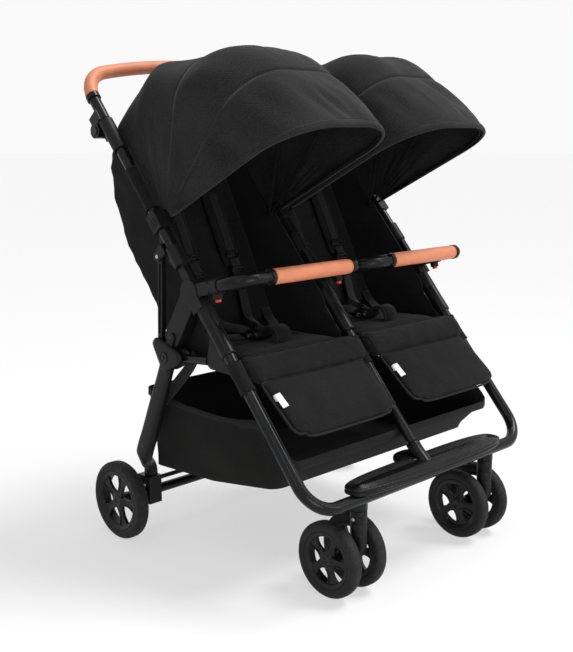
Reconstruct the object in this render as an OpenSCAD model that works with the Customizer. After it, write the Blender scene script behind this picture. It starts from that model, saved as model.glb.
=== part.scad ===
// Side by side double stroller, millimetres.
// X runs to the right of the front view, the front faces -Y, Z is up, the floor is z = 0.
// Lengths along Y are measured from the rear axle and moved to the part's origin at the end.
// "left" in a name is the -X side.

/* [Frame] */
// Half distance between the two side tubes
side_x = 345; // [343:1:347]
// Slope of the main tubes above the floor, degrees
tube_tilt = 49.1; // [48.5:0.1:49.5]
// Frame joint behind (+) or ahead (-) of the rear axle
joint_y = -248; // [-252:1:-244]
// Frame joint height
joint_z = 586; // [582:1:590]
// Diameter of the front U tube
leg_d = 25; // [24:0.5:26]
// Diameter of the upper side tubes
upper_d = 22; // [20:0.5:23]
// Diameter of the centre tube
centre_d = 21; // [19:0.5:22]
// Tube wall
wall = 1.6; // [1.2:0.1:2.5]
// Frame joint to the front cross tube, along the tubes
cross_s = 503; // [498:1:508]
// Bend radius of the front corners
corner_r = 62; // [50:1:75]

/* [Handle] */
// Frame joint to the top bar of the handle, along the tubes
handle_s = 612.5; // [605:0.5:620]
// Bend radius of the handle corners
handle_r = 82; // [75:1:88]
// Radius of the arched top bar
handle_arch = 1300; // [1200:10:1600]
// Diameter of the grips
grip_d = 30; // [28:0.5:33]
// Handle hinge, along the tubes
hinge_s = 438; // [436:1:440]
// Handle hinge, behind the tube
hinge_n = -29; // [-31:0.5:-28]

/* [Wheels] */
// Rear wheel radius
rear_r = 87.5; // [86:0.5:89]
// Rear tyre width
rear_w = 29; // [26:0.5:30]
// Rear wheel centre from the middle
rear_x = 365; // [364:0.5:367]
// Front wheel radius
front_r = 77; // [75:0.5:78]
// Front tyre width
front_w = 27; // [24:0.5:28]
// Caster stem from the middle
caster_x = 212; // [206:1:218]
// Caster stem position
stem_y = -570; // [-574:1:-568]
// Axle behind the stem
trail = 42; // [38:1:46]
// Distance between the two wheels of a caster
pair_gap = 73; // [71:1:77]

/* [Seats] */
// Seat centre from the middle
seat_x = 173; // [171:1:175]
// Width of a seat pad and of a backrest
seat_w = 288; // [280:1:290]
// Seat pad length
seat_l = 199; // [190:1:200]
// Seat pad thickness
seat_t = 30; // [26:1:32]
// Backrest length
back_l = 408; // [390:1:412]
// Backrest thickness
back_t = 26; // [20:1:27]
// Backrest slope above the floor, degrees
back_tilt = 63; // [62:0.5:64]
// Calf rest length
calf_l = 134; // [124:1:136]
// Calf rest thickness
calf_t = 24; // [18:1:25]
// Calf rest slope below the floor line, degrees
calf_tilt = 40; // [36:1:42]

/* [Canopies] */
// Half width of the canopy fabric
canopy_w = 158; // [156:0.5:158]
// Fabric thickness
cloth_t = 2.5; // [2:0.1:2.5]
// Canopy pivot, along the tubes
canopy_s = 172; // [170:1:174]

/* [Basket] */
// Half width of the basket at the top
basket_w = 324; // [310:1:324]
// Half width of the basket at the bottom
basket_low_w = 284; // [270:1:286]
// Basket cloth thickness
basket_t = 3; // [2:0.5:4]

/* [Hidden] */
round_steps = 64;
$fn = round_steps;
front_end = -611;
rear_end = joint_y + handle_s * cos(tube_tilt) + grip_d / 2;
origin_shift = -(front_end + rear_end) / 2;
gap = 0.05;
clear = 0.5;
joint = [joint_y, joint_z];
side_signs = [-1, 1];

// Frame joint housings
joint_d = 48;
joint_w = 36;
tongue_w = 13;
tongue_d = 44;
slot_half = tongue_w / 2 + 0.7;
cheek_w = joint_w / 2 - slot_half;
pin_d = 10;
pin_fit = 0.16;
sleeve_low = 85;
sleeve_d = 34;
tube_end = -30;
arm_end = [-186, 484];
arm_w = 44;
arm_t = 24;
link = [-301, 450];
fin_t = 12;

// Bumper bars: the arms rise by this angle towards the front
bumper_rise = 14;
bumper_reach = 141;
bumper_d = 29;
plug_d = 24;
socket_d = 33;
socket_from = 42;
socket_to = 82;
inner_x = 17;
bumper_grip = [-265, -42];
button_r = 66;
button_d = 12;
button_play = 0.8;

// Hubs and rear frame
hub_ear = [-139, 466];
hub_front = [-192, 441];
hub_low = [-164, 424];
pivot = [-160, 440];
pivot_d = 12;
ear_pin = 8;
hub_w = 26;
hub_in = 333;
hub_out = 357.1;
plate_t = 6.5;
cover_t = 10;
rail_end = 13.3;
rail_to = link + [13.5, 0];
rail_dir = (rail_to - hub_front) / norm(rail_to - hub_front);
leg_in = 341;
leg_t = 14;
leg_w = 30;
leg_end = [-52, 222];
post_x = 290;
post_y = -12;
post_d = 24;
bracket_top = 130;
axle_z = rear_r;
axle_d = 22;
spindle_d = 10;
brake_at = [-6, 116];
strut_in = 342;
strut_t = 10;
strut_w = 14;
lug_s = 113.5;
lug_n = -38;

// Handle: the arched bar runs into corner arcs that turn by handle_turn
arch_low = handle_s - handle_arch;
arch_steps = 360;
arch_slack = 0.1;
arch_lap = 0.05;
corner_x = side_x - handle_r;
corner_s = arch_low + sqrt(pow(handle_arch - handle_r, 2) - pow(corner_x, 2));
handle_turn = atan2(corner_s - arch_low, corner_x);
upper_start = 64;
handle_start = 443;
collar_s = 500;
collar_l = 11;
hinge_r = 16;
hinge_pin = 8;
socket_low = 361;
socket_top = 439;
socket_stop = 5;
hub_button_d = 18;

// Wheels and casters
rear_tyre_h = 20;
front_tyre_h = 19;
hub_extra = 6;
kingpin_d = 12;
caster_axle_d = 8;

// Seat buckles
buckle_y = -248;
buckle_z = 467.3;
buckle_d = 20;

// Basket
basket_top = 346;
basket_low = 176;

// Canopy bows, from the rim to the main tubes: angle above the forward direction, reach from the
// pivot, corner radius, how far the side is drawn in, and the bulge of the cloth after each bow
canopy_x = seat_x - 0.5;
tube_a = 180 - tube_tilt;
bow_angles = [27.8, 51, 80.5, 103, tube_a];
bow_reach = [420, 380, 337, 334, 262];
bow_corner = [118, 112, 106, 96, 24];
bow_tuck = [0, 0, 0, 0, 6];
bulges = [-3, 17, -9, -8];
bow_d = 5;
bow_step = 6;
bow_inset = 1.7;
bow_drop = 6;
canopy_pin = 6;
eye_d = 12;
eye_t = 4;
canopy_hole = 26;

// Helpers

function along(s, n) = [
  joint_y + s * cos(tube_tilt) - n * sin(tube_tilt),
  joint_z + s * sin(tube_tilt) + n * cos(tube_tilt)
];
function reach_dir() = [-cos(bumper_rise), sin(bumper_rise)];
function under_dir() = [-sin(bumper_rise), -cos(bumper_rise)];
function at_x(x, p) = [x, p.x, p.y];

module placed() {
  translate([0, origin_shift, 0]) children();
}

module both_sides() {
  children();
  mirror([1, 0, 0]) children();
}

// Work in the plane of the main tubes: x, distance along the tube, height towards the front
module tube_plane() {
  translate([0, joint_y, joint_z]) rotate([tube_tilt, 0, 0]) children();
}

// Work in the plane of the bumper bars: x, distance from the joint, height
module bumper_plane() {
  translate([0, joint_y, joint_z]) rotate([180 - bumper_rise, 0, 0]) children();
}

// A drawing in (y, z) made solid from x0 to x1
module plate(x0, x1) {
  translate([x0, 0, 0]) rotate([90, 0, 90]) linear_extrude(x1 - x0) children();
}

module rod(p, q, d) {
  v = q - p;
  l = norm(v);
  translate(p) rotate([0, acos(v.z / l), atan2(v.y, v.x)]) cylinder(d = d, h = l);
}

module pipe(p, q, d, t) {
  u = (q - p) / norm(q - p);
  difference() {
    rod(p, q, d);
    rod(p - u, q + u, d - 2 * t);
  }
}

// Disc or pin along X from x0 to x1 at p = [y, z]
module x_pin(x0, x1, p, d) {
  translate([x0, p.x, p.y]) rotate([0, 90, 0]) cylinder(d = d, h = x1 - x0);
}

module bend(centre, from, r, d, t, turn = 90, steps = round_steps) {
  translate(centre) rotate([0, 0, from]) rotate_extrude(angle = turn, $fn = steps) translate([r, 0])
    difference() {
      circle(d = d, $fn = round_steps);
      if (d > 2 * t) circle(d = d - 2 * t, $fn = round_steps);
    }
}

// Flat bar outline with square ends
module bar(p, q, w) {
  v = q - p;
  translate(p) rotate(atan2(v.y, v.x)) translate([0, -w / 2]) square([norm(v), w]);
}

// Flat bar outline with round ends
module slot(p, q, w) {
  translate(p) circle(d = w);
  translate(q) circle(d = w);
  bar(p, q, w);
}

// Convex outline grown by r, with round corners
function grown(points, r, steps = 8) = let (n = len(points)) [
  for (i = [0 : n - 1]) let (
    b = points[i],
    into = b - points[(i + n - 1) % n],
    out = points[(i + 1) % n] - b,
    from = atan2(into.y, into.x) - 90,
    turn = (atan2(out.y, out.x) - 90 - from + 720) % 360
  ) for (k = [0 : steps]) b + r * [cos(from + turn * k / steps), sin(from + turn * k / steps)]
];

// Triangles of a closed skin: two grids of (nu + 1) x (nv + 1) points, outer first, joined at the rim
function skin_faces(nu, nv) = let (
  m = nv + 1,
  inner = (nu + 1) * m,
  rim = concat(
    [for (j = [0 : nv]) j],
    [for (i = [1 : nu]) i * m + nv],
    [for (j = [nv - 1 : -1 : 0]) nu * m + j],
    [for (i = [nu - 1 : -1 : 1]) i * m]
  ),
  k = len(rim)
) concat(
  [for (i = [0 : nu - 1], j = [0 : nv - 1]) let (q = i * m + j) [q, q + 1, q + m + 1]],
  [for (i = [0 : nu - 1], j = [0 : nv - 1]) let (q = i * m + j) [q, q + m + 1, q + m]],
  [for (i = [0 : nu - 1], j = [0 : nv - 1]) let (q = inner + i * m + j) [q, q + m + 1, q + 1]],
  [for (i = [0 : nu - 1], j = [0 : nv - 1]) let (q = inner + i * m + j) [q, q + m, q + m + 1]],
  [for (a = [0 : k - 1]) [rim[a], inner + rim[a], inner + rim[(a + 1) % k]]],
  [for (a = [0 : k - 1]) [rim[a], inner + rim[(a + 1) % k], rim[(a + 1) % k]]]
);

// Sewn pad: crowned faces, drawn-in sides, round corners and stitched channels across its length
function swell(u, v) = pow((1 - pow(abs(u), 5)) * (1 - pow(abs(v), 6)), 0.55);
function stitched(v, channels) = let (
  d = [for (c = channels) 1 - 0.45 * exp(-pow((v - c) / 0.07, 2))]
) len(d) == 0 ? 1 : min(d);
function corner_pull(u, v, k) = 1 - k * pow(abs(u * v), 6);

module pad(size, edge, corner, channels, nu = 12, nv = 12) {
  us = [for (i = [0 : nu]) sin(90 * (2 * i / nu - 1))];
  vs = [for (j = [0 : nv]) sin(90 * (2 * j / nv - 1))];
  skin = function (face) [
    for (u = us, v = vs) let (
      pull = corner_pull(u, v, corner),
      rise = edge / 2 + (size.z - edge) / 2 * swell(u, v) * stitched(v, channels)
    ) [size.x / 2 * u * pull, size.y / 2 * v * pull, face * rise]
  ];
  polyhedron(concat(skin(1), skin(-1)), skin_faces(nu, nv));
}

// Fixed frame

module front_frame() {
  low = -cross_s;
  boss_d = 34;
  boss_z = 183;
  boss_h = 16;
  pin_z = 112;
  pin_l = 80;
  sunk = 0.6;
  placed() color("#17181a") {
    tube_plane() {
      both_sides() {
        pipe([-side_x, low + corner_r, 0], [-side_x, tube_end, 0], leg_d, wall);
        bend([-side_x + corner_r, low + corner_r, 0], 180, corner_r, leg_d, wall);
      }
      pipe([-side_x + corner_r, low, 0], [side_x - corner_r, low, 0], leg_d, wall);
      pipe([0, low + leg_d / 2 - sunk, 0], [0, tube_end, 0], centre_d, wall);
    }
    for (m = side_signs) translate([m * caster_x, stem_y, 0]) {
      translate([0, 0, boss_z]) cylinder(d = boss_d, h = boss_h);
      translate([0, 0, pin_z]) cylinder(d = kingpin_d, h = pin_l);
    }
  }
}

module housing_body() {
  sleeve_top = -26;
  cheek_l = 45;
  tube_plane() {
    rod([0, -sleeve_low, 0], [0, sleeve_top, 0], sleeve_d);
    both_sides() {
      x_pin(slot_half, joint_w / 2, [0, 0], joint_d);
      translate([slot_half, -cheek_l, -sleeve_d / 2]) cube([cheek_w, cheek_l, sleeve_d]);
    }
  }
}

module socket_body(x) {
  p = joint + socket_from * reach_dir();
  q = joint + socket_to * reach_dir();
  rod(at_x(x, p), at_x(x, q), socket_d);
}

// Webs from the hinge cheeks to the bumper sockets
module socket_webs() {
  web_x = 12;
  web_t = 8;
  web_w = 26;
  web_reach = 50;
  for (m = side_signs) plate(m * web_x - web_t / 2, m * web_x + web_t / 2)
    slot(joint, joint + web_reach * reach_dir(), web_w);
}

module socket_bore(x) {
  floor_t = 2;
  p = joint + (socket_from + floor_t) * reach_dir();
  q = joint + (socket_to + 1) * reach_dir();
  rod(at_x(x, p), at_x(x, q), plug_d + 2 * clear);
}

module button_boss() {
  d = 19;
  from = 13;
  to = 26;
  p = joint + button_r * reach_dir();
  rod(at_x(0, p + from * under_dir()), at_x(0, p + to * under_dir()), d);
}

module button_bore() {
  from = 17;
  to = 28;
  p = joint + button_r * reach_dir();
  rod(at_x(0, p + from * under_dir()), at_x(0, p + to * under_dir()), button_d + button_play);
}

// One frame joint about x = 0: hinge cheeks, tube sleeve, bumper sockets
module frame_joint(bore_d, sockets) {
  mouth_l = 60;
  mouth_h = 24;
  difference() {
    union() {
      housing_body();
      for (x = sockets) socket_body(x);
      socket_webs();
      button_boss();
      children();
    }
    for (x = sockets) socket_bore(x);
    button_bore();
    tube_plane() {
      rod([0, -sleeve_low - 1, 0], [0, tube_end + gap, 0], bore_d + 2 * gap);
      x_pin(-slot_half, slot_half, [0, 0], tongue_d + 2);
      translate([-slot_half, 0, -mouth_h / 2]) cube([2 * slot_half, mouth_l, mouth_h]);
    }
  }
  tube_plane() x_pin(-joint_w / 2, joint_w / 2, [0, 0], pin_d);
}

// Arm down to the hub and the fin that carries the seat tube
module side_arm() {
  eye = [-137.5, -49];
  ring_d = 26;
  root = -12.7;
  plate(-arm_t / 2, arm_t / 2) slot(joint, arm_end, arm_w);
  tube_plane() plate(-fin_t / 2, fin_t / 2) {
    translate(eye) circle(d = ring_d);
    polygon([[-60, root], [-100, -22], [-130, -60], [-146, -60], [-190, root]]);
  }
}

module frame_joints() {
  placed() color("#1d1b1a") {
    for (m = side_signs) translate([m * side_x, 0, 0]) frame_joint(leg_d, [0]) side_arm();
    frame_joint(centre_d, [-inner_x, inner_x]);
  }
}

module hub() {
  mid = (hub_ear + hub_front + hub_low) / 3;
  outline = grown([hub_ear, hub_front, hub_low], hub_w / 2);
  front_pin = 22;
  spigot_d = 17;
  cap_d = 28;
  cap_h = 3;
  stud_d = 12;
  stud_h = 2;
  from = hub_in + 1;
  to = hub_out + 1;
  face = hub_out + cover_t;
  plate(hub_out, face) {
    polygon(outline);
    polygon(grown([arm_end, mid], hub_w / 2 - 1));
  }
  plate(hub_in, hub_in + plate_t) polygon(outline);
  x_pin(from, to, hub_front, front_pin);
  rod(at_x(side_x, hub_front), at_x(side_x, hub_front + (rail_end - gap) * rail_dir), spigot_d);
  x_pin(from, to, pivot, pivot_d);
  x_pin(from, to, hub_ear, ear_pin);
  x_pin(to, face + cap_h, pivot, cap_d);
  x_pin(to, face + stud_h, arm_end, stud_d);
}

module hub_covers() {
  placed() color("#1b1a19") both_sides() hub();
}

module seat_frame() {
  tube_d = 18;
  rear = [-170, 425];
  front = [-352, 432];
  hub_side = hub_front + rail_end * rail_dir;
  fin_side = side_x - fin_t / 2 - gap;
  hub_face = hub_in - gap;
  placed() color("#17181a") {
    both_sides() pipe(at_x(side_x, hub_side), at_x(side_x, rail_to), tube_d, wall);
    pipe(at_x(-hub_face, rear), at_x(hub_face, rear), tube_d, wall);
    pipe(at_x(-fin_side, front), at_x(fin_side, front), tube_d, wall);
  }
}

// Two lobed foot board on the front cross tube, ribbed on top, with a collar round the centre tube
module footrest() {
  half = 243;
  half_l = 39;
  mid_y = front_end + half_l;
  low = 219;
  top = 233;
  steps = 48;
  power = 0.62;
  lobe_w = 76;
  lobe = [[0, -552], [0, -531]];
  collar = [38, 68, 34];
  collar_y = -573;
  ribs = 6;
  rib_pitch = 9;
  rib_w = 3;
  rib_l = 380;
  rib_deep = 1.5;
  outline = [
    for (i = [0 : steps - 1]) let (a = 360 * i / steps, c = cos(a), s = sin(a))
      [half * sign(c) * pow(abs(c), power), mid_y + half_l * sign(s) * pow(abs(s), power)]
  ];
  placed() color("#141414") difference() {
    union() {
      translate([0, 0, low]) linear_extrude(top - low) {
        polygon(outline);
        slot(lobe[0], lobe[1], lobe_w);
      }
      translate([-collar.x / 2, collar_y, low]) cube(collar);
    }
    tube_plane() rod([0, -cross_s, 0], [0, -cross_s + 160, 0], centre_d + 2 * gap);
    for (m = side_signs, k = [0 : ribs - 1])
      translate([m * (rib_l / 4 + collar.x / 2) - rib_l / 4, front_end + rib_pitch * (k + 1), top - rib_deep])
        cube([rib_l / 2, rib_w, 2 * rib_deep]);
  }
}

// Hung basket: side view outline, open at the top
module basket_side(inset) {
  rear = -62 - inset;
  front = -497 + inset;
  polygon([
    [rear, basket_top], [rear, 205 + inset], [-84, basket_low + inset], [-250, 184 + inset],
    [-446, 221 + inset], [front + 8, 233 + inset], [front, 281], [-462, 312],
    [-404, basket_top], [-345, 335], [-285, 330], [-180, 332]
  ]);
}

// Front view of the basket, drawn in towards the bottom
module basket_front(inset) {
  above = 30;
  depth = 600;
  flare = (basket_w - basket_low_w) * above / (basket_top - basket_low);
  up = basket_w + flare - inset;
  low = basket_low_w - inset;
  top = basket_top + above;
  translate([0, 1, 0]) rotate([90, 0, 0]) linear_extrude(depth)
    polygon([[-up, top], [up, top], [low, basket_low], [-low, basket_low]]);
}

module basket() {
  strap = [[-218, 426], [-150, 332]];
  strap_w = 20;
  strap_in = basket_w - 7;
  strap_out = basket_w + 1.5;
  mouth = [420, 60];
  placed() color("#101011") {
    difference() {
      intersection() {
        plate(-basket_w, basket_w) basket_side(0);
        basket_front(0);
      }
      intersection() {
        plate(-basket_w, basket_w) union() {
          basket_side(basket_t);
          translate([-62 - basket_t - mouth.x, 300]) square(mouth);
        }
        basket_front(basket_t);
      }
    }
    both_sides() plate(strap_in, strap_out) slot(strap[0], strap[1], strap_w);
  }
}

// Seats

module seat(x) {
  centre = [-273, 452];
  tilt = -2;
  roll_at = [-397, 447];
  roll_d = 42;
  roll_half = 156;
  placed() color("#161617") {
    translate(at_x(x, centre)) rotate([tilt, 0, 0]) pad([seat_w, seat_l, seat_t], 8, 0.05, [0.1]);
    x_pin(x - roll_half, x + roll_half, roll_at, roll_d);
  }
}

// Fabric tub behind a seat: two side wings and a back
module seat_shell(x) {
  half = 151;
  top = along(352, -18);
  low = along(-165, -26);
  heel = [-182, 470];
  back = [[57, 858], [68, 815], [56, 751], [33, 698], [6, 646], [-45, 585], [-91, 527], [-116, 484]];
  inner = [for (p = back) p - [cloth_t, 0]];
  placed() color("#0f0f10") {
    for (m = side_signs) translate([x + m * (half - cloth_t / 2), 0, 0])
      plate(-cloth_t / 2, cloth_t / 2) polygon(concat([top], back, [heel, low]));
    plate(x - half, x + half) polygon(concat(back, [for (i = [len(inner) - 1 : -1 : 0]) inner[i]]));
  }
}

// Back board: frame with its origin at the lower front edge, y up the board, z out of the front face
module back_frame(x) {
  translate(at_x(x, [-165, 462])) rotate([back_tilt, 0, 0]) children();
}

module backrest(x) {
  placed() color("#151516") back_frame(x) translate([0, back_l / 2, -back_t / 2])
    pad([seat_w, back_l, back_t], 10, 0.06, [-0.35, 0.3]);
}

// Padded shoulder straps with their webbing, clear of the back pad
module straps(x) {
  apart = 58;
  pad_size = [46, 190, 13];
  pad_at = [0, 246, 9.2];
  web = [25, 286, 1.8];
  web_at = [-web.x / 2, 62, 0.6];
  placed() color("#121213") back_frame(x) for (m = side_signs) translate([m * apart, 0, 0]) {
    translate(pad_at) pad(pad_size, 4, 0.08, [], 6, 10);
    translate(web_at) cube(web);
  }
}

module buckle_body(x) {
  size = [56, 42, 20];
  well = 5;
  translate([x, buckle_y, buckle_z]) difference() {
    translate([-size.x / 2, -size.y / 2, 0]) cube(size);
    translate([0, 0, size.z - well]) cylinder(d = buckle_d + button_play, h = well + 1);
  }
}

module buckle(x) {
  placed() color("#0d0d0e") buckle_body(x);
}

module buckle_button(x) {
  lift = 17.6;
  h = 4;
  placed() color("#1f1f20") translate([x, buckle_y, buckle_z + lift]) cylinder(d = buckle_d, h = h);
}

module calf(x) {
  hinge = [-412, 424];
  inset = 6;
  placed() color("#161617") translate(at_x(x, hinge)) rotate([180 + calf_tilt, 0, 0])
    translate([0, calf_l / 2 + inset, 0]) pad([seat_w + 4, calf_l, calf_t], 9, 0.07, []);
}

// Bumper bars

module bumper(shift) {
  outer = -side_x;
  inner = -inner_x;
  outer_r = 40;
  inner_r = 24;
  top = bumper_reach;
  t = 3;
  cuff_l = 9;
  cuff_d = grip_d + 3;
  ring_from = socket_to + 2;
  ring_to = socket_to + 8;
  notch = [11, 8, 4];
  notch_x = bumper_grip[0] - 24;
  placed() color("#131314") translate([shift, 0, 0]) bumper_plane() difference() {
    union() {
      for (x = [outer, inner]) {
        rod([x, socket_from + 5, 0], [x, ring_from + 1, 0], plug_d);
        rod([x, ring_from, 0], [x, ring_to, 0], bumper_d);
      }
      pipe([outer, ring_to - 1, 0], [outer, top - outer_r, 0], bumper_d, t);
      pipe([inner, ring_to - 1, 0], [inner, top - inner_r, 0], bumper_d, t);
      bend([outer + outer_r, top - outer_r, 0], 90, outer_r, bumper_d, t);
      bend([inner - inner_r, top - inner_r, 0], 0, inner_r, bumper_d, t);
      pipe([outer + outer_r, top, 0], [inner - inner_r, top, 0], bumper_d, t);
      for (x = [bumper_grip[0] - cuff_l, bumper_grip[1]])
        pipe([x, top, 0], [x + cuff_l, top, 0], cuff_d, t);
    }
    for (a = [45 : 90 : 315]) translate([notch_x, top, 0]) rotate([a, 0, 0])
      translate([0, -notch.y / 2, bumper_d / 2 - notch.z / 2]) cube(notch);
  }
}

module bumper_grip(shift) {
  placed() color("#b9714f") translate([shift, 0, 0]) bumper_plane()
    pipe([bumper_grip[0] + gap, bumper_reach, 0], [bumper_grip[1] - gap, bumper_reach, 0],
      grip_d + 2, (grip_d + 2 - bumper_d) / 2 - gap);
}

module release(x) {
  from = 21.5;
  to = 31;
  p = joint + button_r * reach_dir();
  placed() color("#d01a1f") rod(at_x(x, p + from * under_dir()), at_x(x, p + to * under_dir()), button_d);
}

// Upper frame

module upper_tubes() {
  top_s = 344;
  top_n = -9;
  top_d = 16;
  placed() color("#17181a") tube_plane() {
    both_sides() pipe([-side_x, upper_start, 0], [-side_x, socket_top - socket_stop, 0], upper_d, wall);
    pipe([0, upper_start, 0], [0, top_s + 10, 0], upper_d, wall);
    pipe([-side_x, top_s, top_n], [side_x, top_s, top_n], top_d, wall);
  }
}

// Hinge tongue with the sleeve of an upper tube, about x = 0
module knuckle() {
  neck_h = 20;
  sleeve_from = 60;
  sleeve_to = 106;
  knuckle_d = 30;
  difference() {
    union() {
      x_pin(-tongue_w / 2, tongue_w / 2, [0, 0], tongue_d);
      translate([-tongue_w / 2, 0, -neck_h / 2]) cube([tongue_w, sleeve_from + 2, neck_h]);
      rod([0, sleeve_from, 0], [0, sleeve_to, 0], knuckle_d);
    }
    x_pin(-tongue_w, tongue_w, [0, 0], pin_d + pin_fit);
    rod([0, upper_start - gap, 0], [0, sleeve_to + 1, 0], upper_d + 2 * gap);
  }
}

// Rear fin of a side tube with the lug of the strut, for the side at +x
module strut_lug() {
  half = 5;
  lug_in = 7.5;
  lug_out = 15;
  lug_w = 20;
  root = -11.2;
  fin_low = -26;
  plate(-half, half) polygon([[60, root], [60, -16], [100, fin_low], [128, fin_low], [152, root]]);
  plate(-half, lug_out) translate([101, fin_low]) square([25, 14.6]);
  plate(lug_in, lug_out) slot([lug_s, -20], [lug_s, lug_n], lug_w);
}

// Lower half of the handle hinge, for the side at +x
module handle_socket() {
  d = 31;
  inner = -14;
  web_l = 30;
  web_end = -8;
  difference() {
    union() {
      rod([0, socket_low, 0], [0, socket_top, 0], d);
      plate(inner, -1) {
        translate([hinge_s, hinge_n]) circle(r = hinge_r);
        translate([hinge_s - web_l, hinge_n]) square([web_l, web_end - hinge_n]);
      }
    }
    x_pin(-0.25, 20, [hinge_s, hinge_n], 2 * hinge_r + 2);
    x_pin(-20, 20, [hinge_s, hinge_n], hinge_pin + pin_fit);
    rod([0, socket_low - 1, 0], [0, socket_top - socket_stop + gap, 0], upper_d + 2 * gap);
  }
}

// Square clip on a tube with the pin that the bows turn on, pointing to -x
module canopy_clip(x_in, x_out, pin_l, bore_d) {
  long = 42;
  deep = 30;
  difference() {
    translate([x_in, canopy_s - long / 2, -deep / 2]) cube([x_out - x_in, long, deep]);
    rod([0, canopy_s - long, 0], [0, canopy_s + long, 0], bore_d + 2 * gap);
  }
  x_pin(x_in - pin_l, x_in + 0.2, [canopy_s, 0], canopy_pin);
}

// Moulded pieces of the upper frame: knuckles, strut lugs, handle sockets, canopy clips
module upper_knuckles() {
  pin_l = 22;
  clip_out = 14;
  inner = side_x - canopy_x - canopy_w - 0.8;
  placed() color("#1d1b1a") tube_plane() {
    knuckle();
    both_sides() {
      canopy_clip(-inner, 0, pin_l, upper_d);
      translate([side_x, 0, 0]) {
        knuckle();
        strut_lug();
        handle_socket();
        canopy_clip(-inner, clip_out, pin_l, upper_d);
      }
    }
  }
}

// Handle

// The bent bar: two corners from the given angle on, and the arch between them
module handle_bend(from, d, t) {
  both_sides() bend([corner_x, corner_s, 0], from, handle_r, d, t, handle_turn - from);
  bend([0, arch_low, 0], handle_turn - arch_lap, handle_arch, d - arch_slack, t,
    180 - 2 * (handle_turn - arch_lap), arch_steps);
}

// Straight part of the handle with its hinge plate, for the side at +x
module handle_arm() {
  plate_in = side_x + 0.5;
  plate_out = side_x + 15;
  well = side_x + 9;
  neck_l = 26;
  neck_top = 4;
  stop_l = 8;
  collar_t = 3.2;
  pipe([side_x, handle_start, 0], [side_x, corner_s, 0], leg_d, wall);
  pipe([side_x, collar_s, 0], [side_x, collar_s + collar_l, 0], grip_d + 1, collar_t);
  difference() {
    plate(plate_in, plate_out) {
      translate([hinge_s, hinge_n]) circle(r = hinge_r);
      translate([handle_start, hinge_n]) square([neck_l, neck_top - hinge_n]);
      translate([hinge_s, hinge_n]) square([stop_l, hinge_r]);
    }
    plate(well, plate_out + 1) translate([hinge_s, hinge_n]) circle(d = hub_button_d + 1);
    rod([side_x, handle_start - 10, 0], [side_x, handle_start, 0], upper_d + 12);
  }
  x_pin(side_x - 14, side_x + 3, [hinge_s, hinge_n], hinge_pin);
}

module handle_tube() {
  placed() color("#17181a") tube_plane() {
    handle_bend(0, leg_d, wall);
    both_sides() handle_arm();
  }
}

module handle_grip() {
  start = asin((collar_s + collar_l + 5 * clear - corner_s) / handle_r);
  t = (grip_d - leg_d) / 2 - gap;
  placed() color("#b9714f") tube_plane() handle_bend(start, grip_d, t);
}

module handle_button() {
  from = side_x + 12;
  to = side_x + 17.5;
  placed() color("#232324") tube_plane() x_pin(from, to, [hinge_s, hinge_n], hub_button_d);
}

// Canopies

// Work with the pivot of a canopy at the origin: x across, y out along a bow at angle a
module bow_plane(x, a) {
  placed() tube_plane() translate([x, canopy_s, 0]) rotate([180 - a - tube_tilt, 0, 0]) children();
}

module bow(x, k) {
  half = canopy_w - cloth_t - bow_inset - bow_d / 2 - bow_step * k;
  top = bow_reach[k] - cloth_t - bow_drop;
  r = bow_corner[k] - bow_drop;
  color("#0c0c0d") bow_plane(x, bow_angles[k]) both_sides() difference() {
    union() {
      rod([half, eye_d / 2 - 2, 0], [half, top - r, 0], bow_d);
      bend([half - r, top - r, 0], 0, r, bow_d, bow_d);
      rod([0, top, 0], [half - r, top, 0], bow_d);
      x_pin(half - eye_t / 2, half + eye_t / 2, [0, 0], eye_d);
    }
    x_pin(half - bow_d, half + bow_d, [0, 0], canopy_pin + pin_fit);
  }
}

// Value of a list at angle a, straight between the bows
function panel_of(a) = let (
  hits = [for (i = [0 : len(bow_angles) - 2]) if (a >= bow_angles[i] - 0.001) i]
) hits[len(hits) - 1];
function part_of(a) = let (i = panel_of(a)) (a - bow_angles[i]) / (bow_angles[i + 1] - bow_angles[i]);
function between(list, a) = let (i = panel_of(a)) list[i] + part_of(a) * (list[i + 1] - list[i]);

// Reach of the fabric at angle a, with its bulge between the bows
function cloth_reach(a) = between(bow_reach, a) + bulges[panel_of(a)] * sin(180 * part_of(a));

// Points across the canopy in the plane of one angle: side, corner, front edge, corner, side
function cloth_path(half, reach, r) = let (
  side = [for (k = [0 : 3]) [half, canopy_hole + (reach - r - canopy_hole) * k / 4]],
  arc = [for (k = [0 : 5]) [half - r + r * cos(18 * k), reach - r + r * sin(18 * k)]],
  edge = [for (k = [1 : 2]) [(half - r) * (1 - k / 2), reach]],
  right = concat(side, arc, edge)
) concat(right, [for (k = [len(right) - 2 : -1 : 0]) [-right[k].x, right[k].y]]);

module canopy_cloth(x) {
  per_panel = 4;
  angles = concat(
    [for (i = [0 : len(bow_angles) - 2], k = [0 : per_panel - 1])
      bow_angles[i] + (bow_angles[i + 1] - bow_angles[i]) * k / per_panel],
    [tube_a]
  );
  pivot_at = along(canopy_s, 0);
  skin = function (t) [
    for (a = angles) let (half = canopy_w - between(bow_tuck, a), r = between(bow_corner, a))
      for (p = cloth_path(half - t, cloth_reach(a) - t, r - t))
        [x + p.x, pivot_at.x - p.y * cos(a), pivot_at.y + p.y * sin(a)]
  ];
  outer = skin(0);
  placed() color("#111112")
    polyhedron(concat(outer, skin(cloth_t)), skin_faces(len(angles) - 1, len(outer) / len(angles) - 1));
}

// Rear frame

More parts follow.
